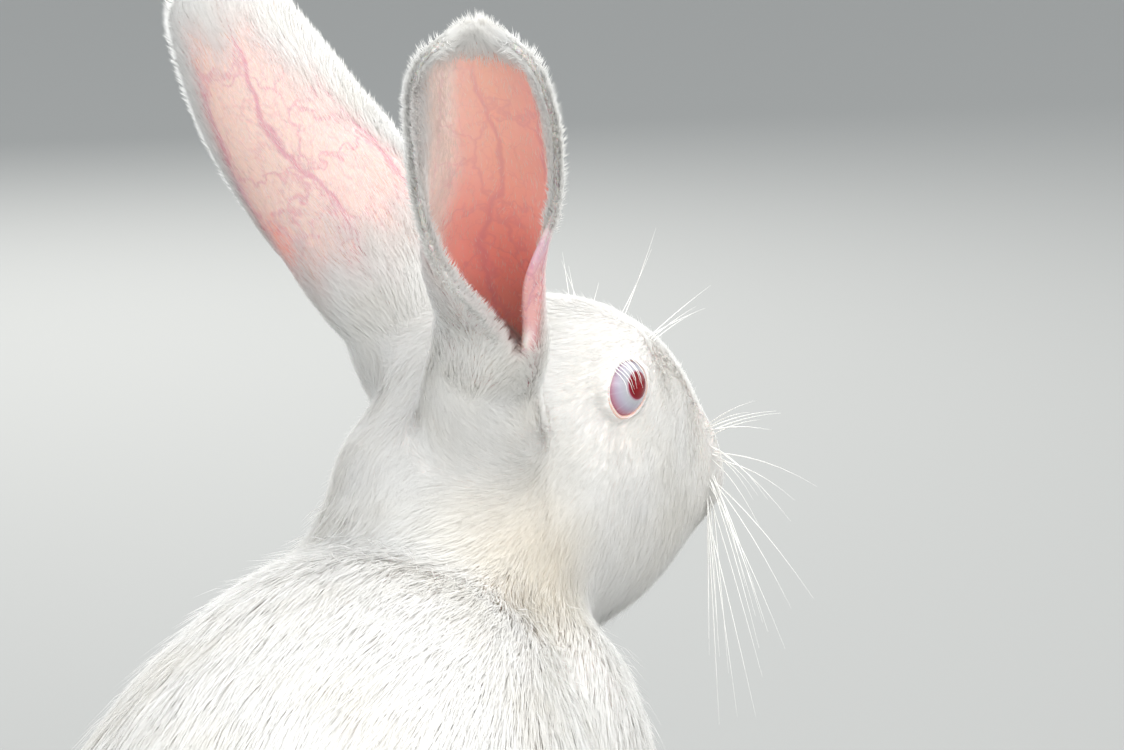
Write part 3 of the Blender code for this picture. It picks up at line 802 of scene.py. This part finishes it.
def furPiece(name, paths, width, normals, shade, flat, finish):
    # flat tapering blades along the paths, as one mesh
    count, points = paths.shape[:2]
    steps = points - 1
    way = unit(paths[:, 1:] - paths[:, :-1])
    across = unit(np.cross(way[:, 0], normals))
    roll = rng.normal(0, 0.4, count)[:, None]
    across = unit(across * np.cos(roll) + np.cross(way[:, 0], across) * np.sin(roll))
    taper = np.array({1: (1.0,), 2: (0.8, 1.0)}[steps])
    half = (width[:, None] * taper / 2 * mm)[:, :, None] * across[:, None]
    rim = np.stack([paths[:, :-1] - half, paths[:, :-1] + half], 2).reshape(count, 2 * steps, 3)
    vertices = np.concatenate([rim, paths[:, -1:]], 1)
    each = 2 * steps + 1
    pattern = []
    for step in range(steps - 1):
        a = 2 * step
        pattern += [(a, a + 1, a + 3), (a, a + 3, a + 2)]
    pattern.append((each - 3, each - 2, each - 1))
    faces = (np.arange(count) * each)[:, None, None] + np.array(pattern)[None]
    vertices[:, :, 2] = np.maximum(vertices[:, :, 2], 0.0003)
    mesh = bpy.data.meshes.new(name)
    mesh.vertices.add(count * each)
    mesh.vertices.foreach_set("co", vertices.astype(np.float32).ravel())
    mesh.loops.add(faces.size)
    mesh.loops.foreach_set("vertex_index", faces.astype(np.int32).ravel())
    mesh.polygons.add(faces.size // 3)
    mesh.polygons.foreach_set("loop_start", np.arange(0, faces.size, 3, dtype=np.int32))
    mesh.update(calc_edges=True)
    bend = unit(normals[:, None] * 0.88 + np.cross(np.repeat(across[:, None], each, 1),
                np.repeat(way, 2, 1)[:, list(range(2 * steps)) + [2 * steps - 1]]) * 0.12)
    store(mesh.attributes.new("custom_normal", "FLOAT_VECTOR", "POINT"), "vector", bend)
    along = np.append(np.repeat(np.arange(steps), 2), steps) / steps
    # the roots are painted 4% darker: painted shade deep in the coat
    tone = shade[:, None, :] * (0.96 + 0.04 * along)[None, :, None]
    colours = np.concatenate([tone, np.ones((count, each, 1))], 2)
    store(mesh.attributes.new("shade", "FLOAT_COLOR", "POINT"), "color", colours)
    patch = np.stack([np.append(np.tile((0.0, tuftPatch), steps), tuftPatch / 2), along * tuftPatch], 1)
    spots = flat[:, None] + patch[None] - tuftPatch / 2
    store(mesh.uv_layers.new(name="OFBake"), "uv", spots.reshape(-1, 2)[faces.ravel()])
    piece = bpy.data.objects.new(name, mesh)
    bpy.context.collection.objects.link(piece)
    mesh.materials.append(finish)
    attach(piece, "root")
    return piece


def growCoat():
    surface = surfaceOf(skinPiece)
    places = surface["places"]
    names, owners = nearestNode(places)
    plans = [next(plan for part, plan in coat.items() if name.startswith(part)) for name in names]
    pairs = edgePairs(skinPiece.data)
    keys = ("thick", "length", "width", "lift", "clump")
    measures = relaxed(np.array([[plan[key] for key in keys] for plan in plans])[owners], pairs, 30)
    bald = np.ones(len(places))
    head = headParts(places)
    for _, centre, hand in eyeSpots:
        local = head - headParts(np.array([centre]))
        reach = np.hypot((local[:, 1] - 0.5) / 6.9, local[:, 2] / 8.0)
        near = np.linalg.norm(local, axis=1)
        bald = np.where((local[:, 0] * hand > 0) & (near < 16), smoothStep(0.96, 1.06, reach), bald)
        measures[:, 1] *= 0.4 + 0.6 * smoothStep(9, 26, near)
        measures[:, 3] *= 0.3 + 0.7 * smoothStep(9, 26, near)
    near = 1 - smoothStep(8, 34, np.linalg.norm(head - throat, axis=1))
    measures[:, 1] *= 1 + 0.3 * near
    measures[:, 3] += 4.5 * near
    near = np.linalg.norm(head - noseTip, axis=1)
    measures[:, 1] *= 0.35 + 0.65 * smoothStep(4, 34, near)
    measures[:, 3] *= 0.25 + 0.75 * smoothStep(4, 34, near)
    bald *= 0.25 + 0.75 * smoothStep(2.5, 6, near)
    ways = unit(relaxed(combed(places), pairs, 40))
    tree = BVHTree.FromPolygons(places.tolist(), surface["corners"].tolist())
    face, share = scatter(surface, measures[:, 0] * bald)
    corners = surface["corners"][face]
    roots = mixed(places, corners, share)
    normals = unit(mixed(surface["normals"], corners, share))
    lie = mixed(ways, corners, share)
    _, length, width, lift, clump = mixed(measures, corners, share).T
    flat = (surface["flat"][face] * share[:, :, None]).sum(1)
    swirl = np.stack([ripple(roots, 0.011, seed) for seed in (1, 2, 3)], 1)
    lie = unit(lie + swirl * 0.10 + rng.normal(0, 0.08, roots.shape))
    length = length * rng.uniform(0.7, 1.15, len(roots)) * (1 + 0.15 * ripple(roots, 0.03, 5))
    lift = lift * rng.uniform(0.6, 1.1, len(roots)) * (1 + 0.12 * ripple(roots, 0.014, 6))
    lift = lift * np.where(rng.random(len(roots)) < guardHair["share"], guardHair["lift"], 1)
    tone = np.clip(rng.normal(0.985, 0.02, (len(roots), 1)) + 0.01 * ripple(roots, 0.012, 8)[:, None], 0.6, 1)
    owner = np.array([plan["steps"] for plan in plans])[owners][corners[:, 0]]
    for steps in (1, 2):
        chosen = np.flatnonzero(owner == steps)
        paths = growStrands(tree, roots[chosen], normals[chosen], lie[chosen], length[chosen] * mm,
                            lift[chosen] * mm, steps)
        paths = clumped(paths, clump[chosen] * rng.uniform(0.4, 1.3, len(chosen)), 14)
        order = np.argsort(roots[chosen] @ np.array((0.3, 1, 0.5)), kind="stable")
        batch = most // (2 * steps - 1)
        parts = max(1, math.ceil(len(order) / batch))
        for number, part in enumerate(np.array_split(order, parts)):
            rows = chosen[part]
            label = ("shortFur", "longFur")[steps - 1] + str(number + 1)
            shade = np.repeat(tone[rows], 3, 1)
            furPiece(label, paths[part], width[rows], normals[rows], shade, flat[rows], fur)
        print(label, len(chosen), "strands")


growCoat()

# Ear fur
# strands for each square millimetre where it is dense and where it is bare, and how wide the dense parts are
earFur = {"dense": 9, "bareOut": 2.2, "bareIn": 0.3, "band": 6, "width": 0.19, "baseTop": 0.27, "rimIn": 5.5,
          "rimTufts": 9000, "rimLength": 3.8, "tip": 8, "bandOut": 12, "bandOutFrom": 0.45, "samples": 70000}
earSpan = ear["high"] - ear["low"]
earTop = (ear["top"] - ear["low"]) / earSpan


def earPoint(plan, across, along):
    return earPlaces(plan, across, ear["low"] + earSpan * along)


def growEarFur(name, outerSide):
    plan, count = ear[name], earFur["samples"]
    edgeAt, topAt = ear["inset"], earTop
    across, along = rng.uniform(-edgeAt, edgeAt, count), rng.uniform(0.02, topAt, count)
    small = 1e-3
    middlePlace = earPoint(plan, across, along)
    sideways = (earPoint(plan, across + small, along) - middlePlace) / small
    upwards = (earPoint(plan, across, along + small) - middlePlace) / small
    wide, tall = np.linalg.norm(sideways, axis=1) / mm, np.linalg.norm(upwards, axis=1) / mm
    normals = unit(np.cross(sideways, upwards)) * (-1 if outerSide else 1)
    edge = (edgeAt - np.abs(across)) * wide
    fromTip = (topAt - along) * tall
    reach = plan["rim"] if outerSide else earFur["rimIn"]
    rim = 1 - smoothStep(reach * 0.6, reach * 1.5, np.minimum(edge, fromTip * reach / earFur["tip"]))
    blotch = ripple(middlePlace, 0.012, 31 + outerSide) * 0.03
    flapFrom, flapTo = plan["flap"]
    flap = (across > 0) * (1 - smoothStep(3, 8, edge)) * smoothStep(flapFrom - 0.04, flapFrom + 0.04, along)
    flap = flap * (1 - smoothStep(flapTo - 0.07, flapTo + 0.03, along))
    if outerSide:
        climb = plan["furUp"] * smoothStep(-0.1, -0.6, across)
        base = 1 - smoothStep(earFur["baseTop"] - 0.11, earFur["baseTop"] + 0.24, along + blotch - climb)
        band = 1 - smoothStep(earFur["bandOut"] * 0.5, earFur["bandOut"] * 1.6, (edgeAt + across) * wide)
        band = band * smoothStep(earFur["bandOutFrom"], earFur["bandOutFrom"] + 0.35, along + blotch)
        full = np.maximum.reduce([base, rim, band, smoothStep(0.76, 0.95, along + blotch)])
        full = full * (1 - flap)
        want = (earFur["bareOut"] + (earFur["dense"] - earFur["bareOut"]) * full) * (1 - 0.85 * flap)
    else:
        band = (across < 0) * (1 - smoothStep(0.42, 0.7, edgeAt + across + blotch))
        band = band * (1 - 0.6 * smoothStep(0.75, 0.95, along))
        full = rim * (1 - flap)
        want = earFur["bareIn"] + (earFur["dense"] - earFur["bareIn"]) * full
        want = want + earFur["band"] * band * (1 - full)
    area = wide * tall * 2 * edgeAt * topAt / count      # square millimetres that each sample stands for
    rows = np.flatnonzero(rng.random(count) < want * area)
    across, along, wide, tall, full, edge = (value[rows] for value in (across, along, wide, tall, full, edge))
    normals, sideways = normals[rows], sideways[rows]
    near = 1 - smoothStep(1, 8, edge)
    lean = np.sign(across) * (0.10 + 0.9 * near) + rng.normal(0, 0.14, len(rows))
    lean = lean + 0.15 * ripple(middlePlace[rows], 0.012, 33)
    size = np.hypot(lean, 1)
    low = 1 - smoothStep(0.12, 0.38, along)
    length = (2.6 + 3.0 * full + 3.0 * low * outerSide) * rng.uniform(0.75, 1.15, len(rows))
    lift = (0.25 + 1.1 * full + 0.9 * low * outerSide) * rng.uniform(0.5, 1.3, len(rows))
    stepAcross, stepAlong = lean / size * length / wide, length / size / tall
    wall = ear["thickness"] / 2 * mm
    paths = []
    for t in (0, 0.5, 1):
        spot = earPoint(plan, across + stepAcross * t, along + stepAlong * t)
        height = wall * (1 - 0.8 * t * near) + lift * (1 - (1 - t) ** 1.6) * mm
        paths.append(spot + normals * height[:, None])
    paths = clumped(np.stack(paths, 1), 0.15 * rng.uniform(0.3, 1.3, len(rows)), 12)
    tone = np.clip(rng.normal(0.99, 0.02, (len(rows), 1)), 0.6, 1.05) * np.ones((1, 3))
    # hairs where the ear fur is thin get a painted pink glow, as of light coming through the ear
    rosyGlow = (1 - full)[:, None]
    tone = tone * (1 - rosyGlow * np.array((0.02, 0.12, 0.12) if outerSide else (0.03, 0.17, 0.22)))
    width = earFur["width"] * (0.45 + 0.55 * full)
    flat = np.stack([0.25 + 0.2 * across + (0.5 if outerSide else 0), 0.02 + 0.96 * along], 1)
    faceWay = unit(normals + unit(sideways) * (np.sign(across) * near * 0.2)[:, None])
    if not outerSide:
        tipWay, openWay, _ = earWays(plan)
        faceWay = unit(faceWay * 0.5 + openWay * 0.9 + tipWay * 0.25)
        lie = unit(paths[:, -1] - paths[:, 0])
        faceWay = unit(faceWay - lie * (lie * faceWay).sum(1)[:, None])
    label = f"earFur{name}{'Back' if outerSide else 'Front'}"
    return furPiece(label, paths, width, faceWay, tone, flat, fur if outerSide else earHair)


def growRimFur(name):
    # tufts that stand on the ear's edge and hide it
    plan, count = ear[name], earFur["rimTufts"]
    edgeAt, topAt = ear["inset"], earTop
    onTop = rng.random(count) < 0.12
    across = np.where(onTop, rng.uniform(-edgeAt, edgeAt, count), edgeAt * rng.choice((-1, 1), count))
    along = np.where(onTop, topAt, rng.uniform(0.26, topAt, count))
    flapFrom, flapTo = plan["flap"]
    kept = (across < 0) | onTop | (along < flapFrom - 0.03) | (along > flapTo)
    across, along, onTop = across[kept], along[kept], onTop[kept]
    small = 1e-3
    roots = earPoint(plan, across, along)
    sideways = unit(earPoint(plan, across + small, along) - roots)
    upwards = unit(earPoint(plan, across, along + small) - roots)
    normals = unit(np.cross(sideways, upwards))
    away = np.where(onTop[:, None], upwards, sideways * np.sign(across)[:, None])
    through = rng.uniform(-1, 1, len(roots))[:, None]
    way = unit(away * 0.7 + upwards * 0.5 + normals * through * 0.6 + rng.normal(0, 0.07, roots.shape))
    length = earFur["rimLength"] * rng.uniform(0.75, 1.1, len(roots))
    length = (length * (0.45 + 0.55 * smoothStep(0.3, 0.55, along)))[:, None] * mm
    inside = rng.uniform(0.3, 2.0, (len(roots), 1))
    start = roots + (normals * through * ear["thickness"] * 0.5 - away * inside) * mm
    paths = np.stack([start, start + way * length * 0.5, start + unit(way + upwards * 0.25) * length], 1)
    _, openWay, _ = earWays(plan)
    tone = np.clip(rng.normal(0.99, 0.015, (len(roots), 1)), 0.6, 1) * np.ones((1, 3))
    flat = np.stack([0.25 + 0.2 * across, 0.02 + 0.96 * along], 1)
    facing = unit(openWay - way * (way @ openWay)[:, None])
    width = np.full(len(roots), earFur["width"])
    return furPiece(f"earFur{name}Rim", paths, width, facing, tone, flat, earHair)


earCoat = [growEarFur(name, outerSide) for name, _ in sides for outerSide in (True, False)]
earCoat += [growRimFur(name) for name, _ in sides]
print("ear fur", [len(piece.data.polygons) for piece in earCoat])

# The ears' skin
# rows of a colour ramp across the ear, from the edge near the other ear to the outer edge; the front's orange
# and red stops are pink skin with painted glow of light coming through
earLook = {"front": ((0.0, (0.88, 0.80, 0.73)), (0.3, (0.88, 0.70, 0.63)), (0.38, (0.90, 0.54, 0.46)),
                     (0.55, (0.92, 0.51, 0.40)), (0.8, (0.91, 0.45, 0.38)), (0.94, (0.88, 0.42, 0.37)),
                     (1.0, (0.88, 0.66, 0.62))),
           "back": ((0.0, (0.92, 0.87, 0.83)), (0.1, (0.80, 0.68, 0.64)), (0.3, (0.77, 0.59, 0.54)),
                    (0.55, (0.78, 0.60, 0.53)), (0.8, (0.80, 0.57, 0.49)), (0.93, (0.70, 0.40, 0.42)),
                    (1.0, (0.92, 0.86, 0.82))),
           # deep and glow are painted glow of light coming through the ear, low in the front bowl and in
           # spots on the back
           "deep": (1.0, 0.36, 0.30), "flap": (0.72, 0.40, 0.46), "vein": (0.58, 0.22, 0.32),
           "glow": (0.94, 0.38, 0.30), "flapBack": ((0.84, 0.44, 0.42), (0.70, 0.45, 0.55)),
           # warm spots of painted glow on the back, where light comes through: across, along, size, strength
           "spots": ((0.78, 0.40, 0.12, 0.9), (0.86, 0.86, 0.08, 0.6), (0.25, 0.47, 0.12, 0.25))}


def frontTones(tree, across, along, colour):
    # painted glow of light through the ear, deep red low in the bowl, and the inside of the flap
    gap = mathNode(tree, "ABSOLUTE", mathNode(tree, "SUBTRACT", across, 0.55))
    low = fadeNode(tree, along, 0.72, 0.34, 0.8)
    share = mathNode(tree, "MULTIPLY", fadeNode(tree, gap, 0.36, 0.12), low)
    colour = mixNode(tree, share, colour, earLook["deep"])
    low = fadeNode(tree, along, 0.62, 0.5, 0.85)
    share = mathNode(tree, "MULTIPLY", fadeNode(tree, across, 0.78, 0.86), low)
    return mixNode(tree, share, colour, earLook["flap"])


def backTones(tree, flat, across, along, wander, colour):
    # warm spots where light comes through, and the back of the flap
    for spotAcross, spotAlong, size, strength in earLook["spots"]:
        gap = mathNode(tree, "ADD", gapNode(tree, flat, (spotAcross, spotAlong, 0)), wander)
        colour = mixNode(tree, fadeNode(tree, gap, size, size * 0.2, strength), colour, earLook["glow"])
    low = mathNode(tree, "MULTIPLY", fadeNode(tree, along, 0.66, 0.56), fadeNode(tree, along, 0.3, 0.38))
    flap = mixNode(tree, fadeNode(tree, along, 0.48, 0.6), *earLook["flapBack"])
    share = mathNode(tree, "MULTIPLY", fadeNode(tree, across, 0.82, 0.90), low)
    return mixNode(tree, share, colour, flap)


def veinLines(tree, flat, across, along, wander, where):
    # the large veins run lengthways, and a net of small ones lies between them
    lines = []
    for spot, sway, width in ((0.52, 0.05, 0.010), (0.86, 0.03, 0.012), (0.2, 0.04, 0.008)):
        bend = mathNode(tree, "SINE", mathNode(tree, "MULTIPLY", along, 7.0 + 9 * spot))
        line = mathNode(tree, "MULTIPLY_ADD", bend, sway, spot)
        gap = mathNode(tree, "SUBTRACT", mathNode(tree, "ADD", across, wander), line)
        lines.append(fadeNode(tree, mathNode(tree, "ABSOLUTE", gap), width * 2.4, width * 0.4, 0.75))
    for scale, width, strength in ((4.2, 0.050, 0.55), (9.0, 0.045, 0.32)):
        shift = tree.nodes.new("ShaderNodeMix")
        shift.data_type = "VECTOR"
        shift.inputs["Factor"].default_value = 0.09
        tree.links.new(flat, shift.inputs[4])
        tree.links.new(noiseNode(tree, where, 260).outputs["Color"], shift.inputs[5])
        stretch = tree.nodes.new("ShaderNodeMapping")
        stretch.inputs["Scale"].default_value = (1.0, 1.7, 1)
        tree.links.new(shift.outputs[1], stretch.inputs["Vector"])
        net = tree.nodes.new("ShaderNodeTexVoronoi")
        net.feature = "DISTANCE_TO_EDGE"
        net.inputs["Scale"].default_value = scale
        tree.links.new(stretch.outputs["Vector"], net.inputs["Vector"])
        lines.append(fadeNode(tree, net.outputs["Distance"], width, 0.004, strength))
    veins = lines[0]
    for line in lines[1:]:
        veins = mathNode(tree, "MAXIMUM", veins, line)
    return mathNode(tree, "MULTIPLY", veins, fadeNode(tree, along, 0.97, 0.85))


def earMaterial(name, frontSide):
    depth = 0.002 if frontSide else 0.001
    material, tree, shader = plainMaterial(name, Roughness=0.55, Specular_IOR_Level=0.3,
                                           Subsurface_Weight=0.3, Subsurface_Scale=depth,
                                           Subsurface_Radius=(1.0, 0.32, 0.18))
    links, nodes = tree.links, tree.nodes
    earPlan = nodes.new("ShaderNodeUVMap")
    earPlan.uv_map = "earMap"
    flat = earPlan.outputs["UV"]
    split = nodes.new("ShaderNodeSeparateXYZ")
    links.new(flat, split.inputs["Vector"])
    across, along = split.outputs["X"], split.outputs["Y"]
    where = nodes.new("ShaderNodeTexCoord").outputs["Object"]
    cloud = noiseNode(tree, where, 140, 4).outputs["Fac"]
    wander = mathNode(tree, "MULTIPLY_ADD", cloud, 0.10, -0.05)
    colour = rampNode(tree, mathNode(tree, "ADD", across, wander), earLook["front" if frontSide else "back"])
    if frontSide:
        colour = frontTones(tree, across, along, colour)
    else:
        colour = backTones(tree, flat, across, along, wander, colour)
    veins = veinLines(tree, flat, across, along, wander, where)
    veins = mathNode(tree, "MULTIPLY", veins, 0.45 if frontSide else 0.85)
    links.new(mixNode(tree, veins, colour, earLook["vein"]), shader.inputs["Base Color"])
    bump = nodes.new("ShaderNodeBump")
    bump.inputs["Strength"].default_value = 0.25
    bump.inputs["Distance"].default_value = 0.0006
    links.new(cloud, bump.inputs["Height"])
    links.new(bump.outputs["Normal"], shader.inputs["Normal"])
    return material


earFront, earBack = earMaterial("earFront", True), earMaterial("earBack", False)
for piece in ears.values():
    for number, material in enumerate((earFront, earBack, earBack)):
        piece.data.materials[number] = material

# The eyes' finish
# from the middle of the pupil outwards
eyeLook = ((0.0, (0.20, 0.0, 0.004)), (0.20, (0.17, 0.0, 0.004)), (0.236, (0.22, 0.01, 0.03)),
           (0.252, (0.42, 0.24, 0.30)), (0.28, (0.44, 0.45, 0.48)), (0.40, (0.44, 0.42, 0.50)),
           (0.48, (0.42, 0.33, 0.43)), (0.57, (0.42, 0.19, 0.26)), (0.65, (0.34, 0.05, 0.09)),
           (0.74, (0.62, 0.30, 0.30)))


def eyeMaterial():
    material, tree, shader = plainMaterial("palePinkEye", Roughness=0.12, Specular_IOR_Level=0.25,
                                           Coat_Weight=0.25, Coat_Roughness=0.02)
    links, nodes = tree.links, tree.nodes
    plan = nodes.new("ShaderNodeUVMap")
    plan.uv_map = "eyeMap"
    away = nodes.new("ShaderNodeVectorMath")
    away.operation = "SUBTRACT"
    away.inputs[1].default_value = (0.5, 0.5, 0)
    links.new(plan.outputs["UV"], away.inputs[0])
    reach = nodes.new("ShaderNodeVectorMath")
    reach.operation = "LENGTH"
    links.new(away.outputs["Vector"], reach.inputs[0])
    way = nodes.new("ShaderNodeVectorMath")
    way.operation = "NORMALIZE"
    links.new(away.outputs["Vector"], way.inputs[0])
    rays = noiseNode(tree, way.outputs["Vector"], 9, 5).outputs["Fac"]
    reach = reach.outputs["Value"]
    jitter = mathNode(tree, "MULTIPLY_ADD", rays, 0.03, -0.015)
    iris = fadeNode(tree, reach, 0.056, 0.075)
    wander = mathNode(tree, "MULTIPLY", jitter, iris)
    spread = mathNode(tree, "ADD", mathNode(tree, "MULTIPLY", reach, 4.0), wander)
    share = mathNode(tree, "MULTIPLY", fadeNode(tree, rays, 0.45, 0.75, 0.35), iris)
    streak = mixNode(tree, share, rampNode(tree, spread, eyeLook), (0.56, 0.54, 0.60))
    links.new(streak, shader.inputs["Base Color"])
    return material


eyeFinish = eyeMaterial()
for piece in eyes.values():
    piece.data.materials.append(eyeFinish)
lidFinish, _, _ = plainMaterial("lidSkin", Base_Color=(0.83, 0.56, 0.48, 1), Roughness=0.45,
                                Subsurface_Weight=0.3, Subsurface_Scale=0.002)
for piece in lidRims.values():
    piece.data.materials.append(lidFinish)

# Whiskers, brow hairs and lashes
# per row: root on the head, the way to the tip, how many, length, droop
whiskerRows = ({"root": (11, 99, -14), "tip": (0.75, 0.0, 0.45), "count": 6, "length": 34, "droop": 4},
               {"root": (12.5, 98, -20), "tip": (0.85, -0.25, 0.02), "count": 7, "length": 31, "droop": 8},
               {"root": (12.5, 97, -26), "tip": (0.72, -0.24, -0.50), "count": 9, "length": 42, "droop": 8},
               {"root": (11, 96, -32), "tip": (0.40, -0.16, -0.95), "count": 9, "length": 50, "droop": 4},
               {"root": (17, 60, 22), "tip": (0.1, 0.3, 0.95), "count": 2, "length": 25, "droop": -3},
               {"root": (15, 76, 15), "tip": (0.3, 0.8, 0.6), "count": 4, "length": 22, "droop": 2})
whisker = {"thickness": 0.36, "spread": 0.13, "rootSpread": 1.6, "sweepLeft": -0.65, "points": 7}


def hairCurve(name, strands, thickness):
    # one mesh of round tapering hairs from lists of places
    curve = bpy.data.curves.new(name, "CURVE")
    curve.dimensions = "3D"
    curve.bevel_depth = thickness / 2 * mm
    curve.bevel_resolution = 0
    for places in strands:
        line = curve.splines.new("POLY")
        line.points.add(len(places) - 1)
        for number, (point, place) in enumerate(zip(line.points, places)):
            point.co = (*place, 1)
            point.radius = max(0.12, 1 - (number / (len(places) - 1)) ** 1.5)
    return curvePiece(curve)


def surfaceSpot(tree, place, depth):
    spot, normal, _, _ = tree.find_nearest(place)
    return spot - normal * depth * mm


skinTree = BVHTree.FromPolygons(coordinates(skinPiece.data).tolist(),
                                [tuple(face.vertices) for face in skinPiece.data.polygons])
whiskerLines = []
for row in whiskerRows:
    for hand in (1, -1):
        for _ in range(row["count"]):
            shift = rng.normal(0, whisker["rootSpread"], 3)
            side, forward, up = row["root"]
            root = surfaceSpot(skinTree, onHead(side * hand, forward + shift[1], up + shift[2]), 0.5)
            way = Vector(row["tip"]) + Vector(rng.normal(0, whisker["spread"], 3))
            way.y += whisker["sweepLeft"] if hand < 0 else 0
            way = (sideWay * way.x * hand + noseWay * way.y + upWay * way.z).normalized()
            length = row["length"] * rng.uniform(0.65, 1.1)
            places = []
            for step in range(whisker["points"]):
                t = step / (whisker["points"] - 1)
                places.append(root + way * length * t * mm - upWay * row["droop"] * t * t * mm)
            whiskerLines.append(places)
whiskers = hairCurve("whiskers", whiskerLines, whisker["thickness"])

lash = {"count": 13, "length": 8.0, "thickness": 0.3, "from": 58, "to": 135, "lean": 0.28,
        "ball": 10.2, "points": 6}
lashLines = []
for _, centre, hand in eyeSpots:
    facing = Matrix.Translation(centre) @ turned(sideWay * hand, upWay)
    for number in range(lash["count"]):
        part = (lash["to"] - lash["from"]) * (number + rng.uniform(0, 1)) / lash["count"]
        angle = math.radians(lash["from"] + part)
        spot = almondPoint(angle, hand, 0) * 1.08
        length = lash["length"] * rng.uniform(0.6, 1.1)
        drift = rng.normal(0.0, 0.12)
        places = []
        for step in range(lash["points"]):
            t = step / (lash["points"] - 1)
            out = 1.2 * math.sin(math.pi * min(1, t * 1.2)) + 1.6 * t
            side = drift * length * t + lash["lean"] * hand * length * t
            fall = Vector((spot.x * (1 - 0.10 * t) + side * mm, spot.y - length * t * mm * 0.85, 0))
            ball = (lash["ball"] + out * 0.8) * mm
            fall.z = math.sqrt(max(1e-9, ball ** 2 - fall.x ** 2 - fall.y ** 2))
            places.append(facing @ fall)
        lashLines.append(places)
lashes = hairCurve("lashes", lashLines, lash["thickness"])
hairFinish, _, _ = plainMaterial("whiskerHair", Base_Color=(0.9, 0.89, 0.86, 1), Roughness=0.35)
for piece in (whiskers, lashes):
    piece.data.materials.append(hairFinish)
print("whiskers and lashes", len(whiskers.data.polygons), len(lashes.data.polygons))

# Claws
# per foot: where the middle of the toes' tips is, the space between toes and how many toes
claw = {"length": 6.5, "radius": 1.1, "tip": 0.25,
        "feet": (("fore", (28, -122.5, 5.5), 6.2, 4), ("hind", (72, -32.5, 6), 7.0, 4))}


def makeClaws():
    pieces = []
    for _, hand in sides:
        side = -hand                                     # the rabbit's right is towards -X
        for _, place, spacing, count in claw["feet"]:
            for number in range(count):
                off = number - (count - 1) / 2
                bpy.ops.mesh.primitive_cone_add(vertices=16, radius1=claw["radius"] * mm,
                                                radius2=claw["tip"] * mm, depth=claw["length"] * mm)
                piece = bpy.context.object
                editAll(piece, bpy.ops.mesh.bisect, plane_co=(0, 0, 0), plane_no=(0, 0, 1))
                mesh = piece.data
                places = coordinates(mesh)
                t = places[:, 2] / claw["length"] / mm + 0.5
                places[:, 1] -= 1.2 * mm * t ** 2
                setCoordinates(mesh, places)
                turn = Matrix.Rotation(math.radians(100), 4, "X")
                across = (place[0] + off * spacing) * side
                spot = Vector((across, place[1] + 1.4 * off * off, place[2] - 1.5)) * mm
                mesh.transform(Matrix.Translation(spot) @ turn)
                pieces.append(piece)
    deselectAll()
    for piece in pieces:
        piece.select_set(True)
    bpy.context.view_layer.objects.active = pieces[0]
    bpy.ops.object.join()
    piece = bpy.context.object
    piece.name = piece.data.name = "claws"
    bpy.ops.object.transform_apply()
    bpy.ops.object.shade_smooth()
    return piece


claws = makeClaws()
clawFinish, _, _ = plainMaterial("clawHorn", Base_Color=(0.72, 0.60, 0.50, 1), Roughness=0.35)
claws.data.materials.append(clawFinish)
print("claws")

# Join up with the frame
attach(skinPiece, "root")
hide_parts(*flesh)
for name, side in (("Right", "right"), ("Left", "left")):
    for piece, node, slot in ((ears[name], f"ear_{side}", "ear_skin"), (eyes[name], f"eye_{side}", "eye")):
        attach(piece, "root")
        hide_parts(node)
    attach(lidRims[name], "root")
for piece, slot in ((whiskers, "coat"), (lashes, "coat"), (claws, "claw")):
    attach(piece, "root")
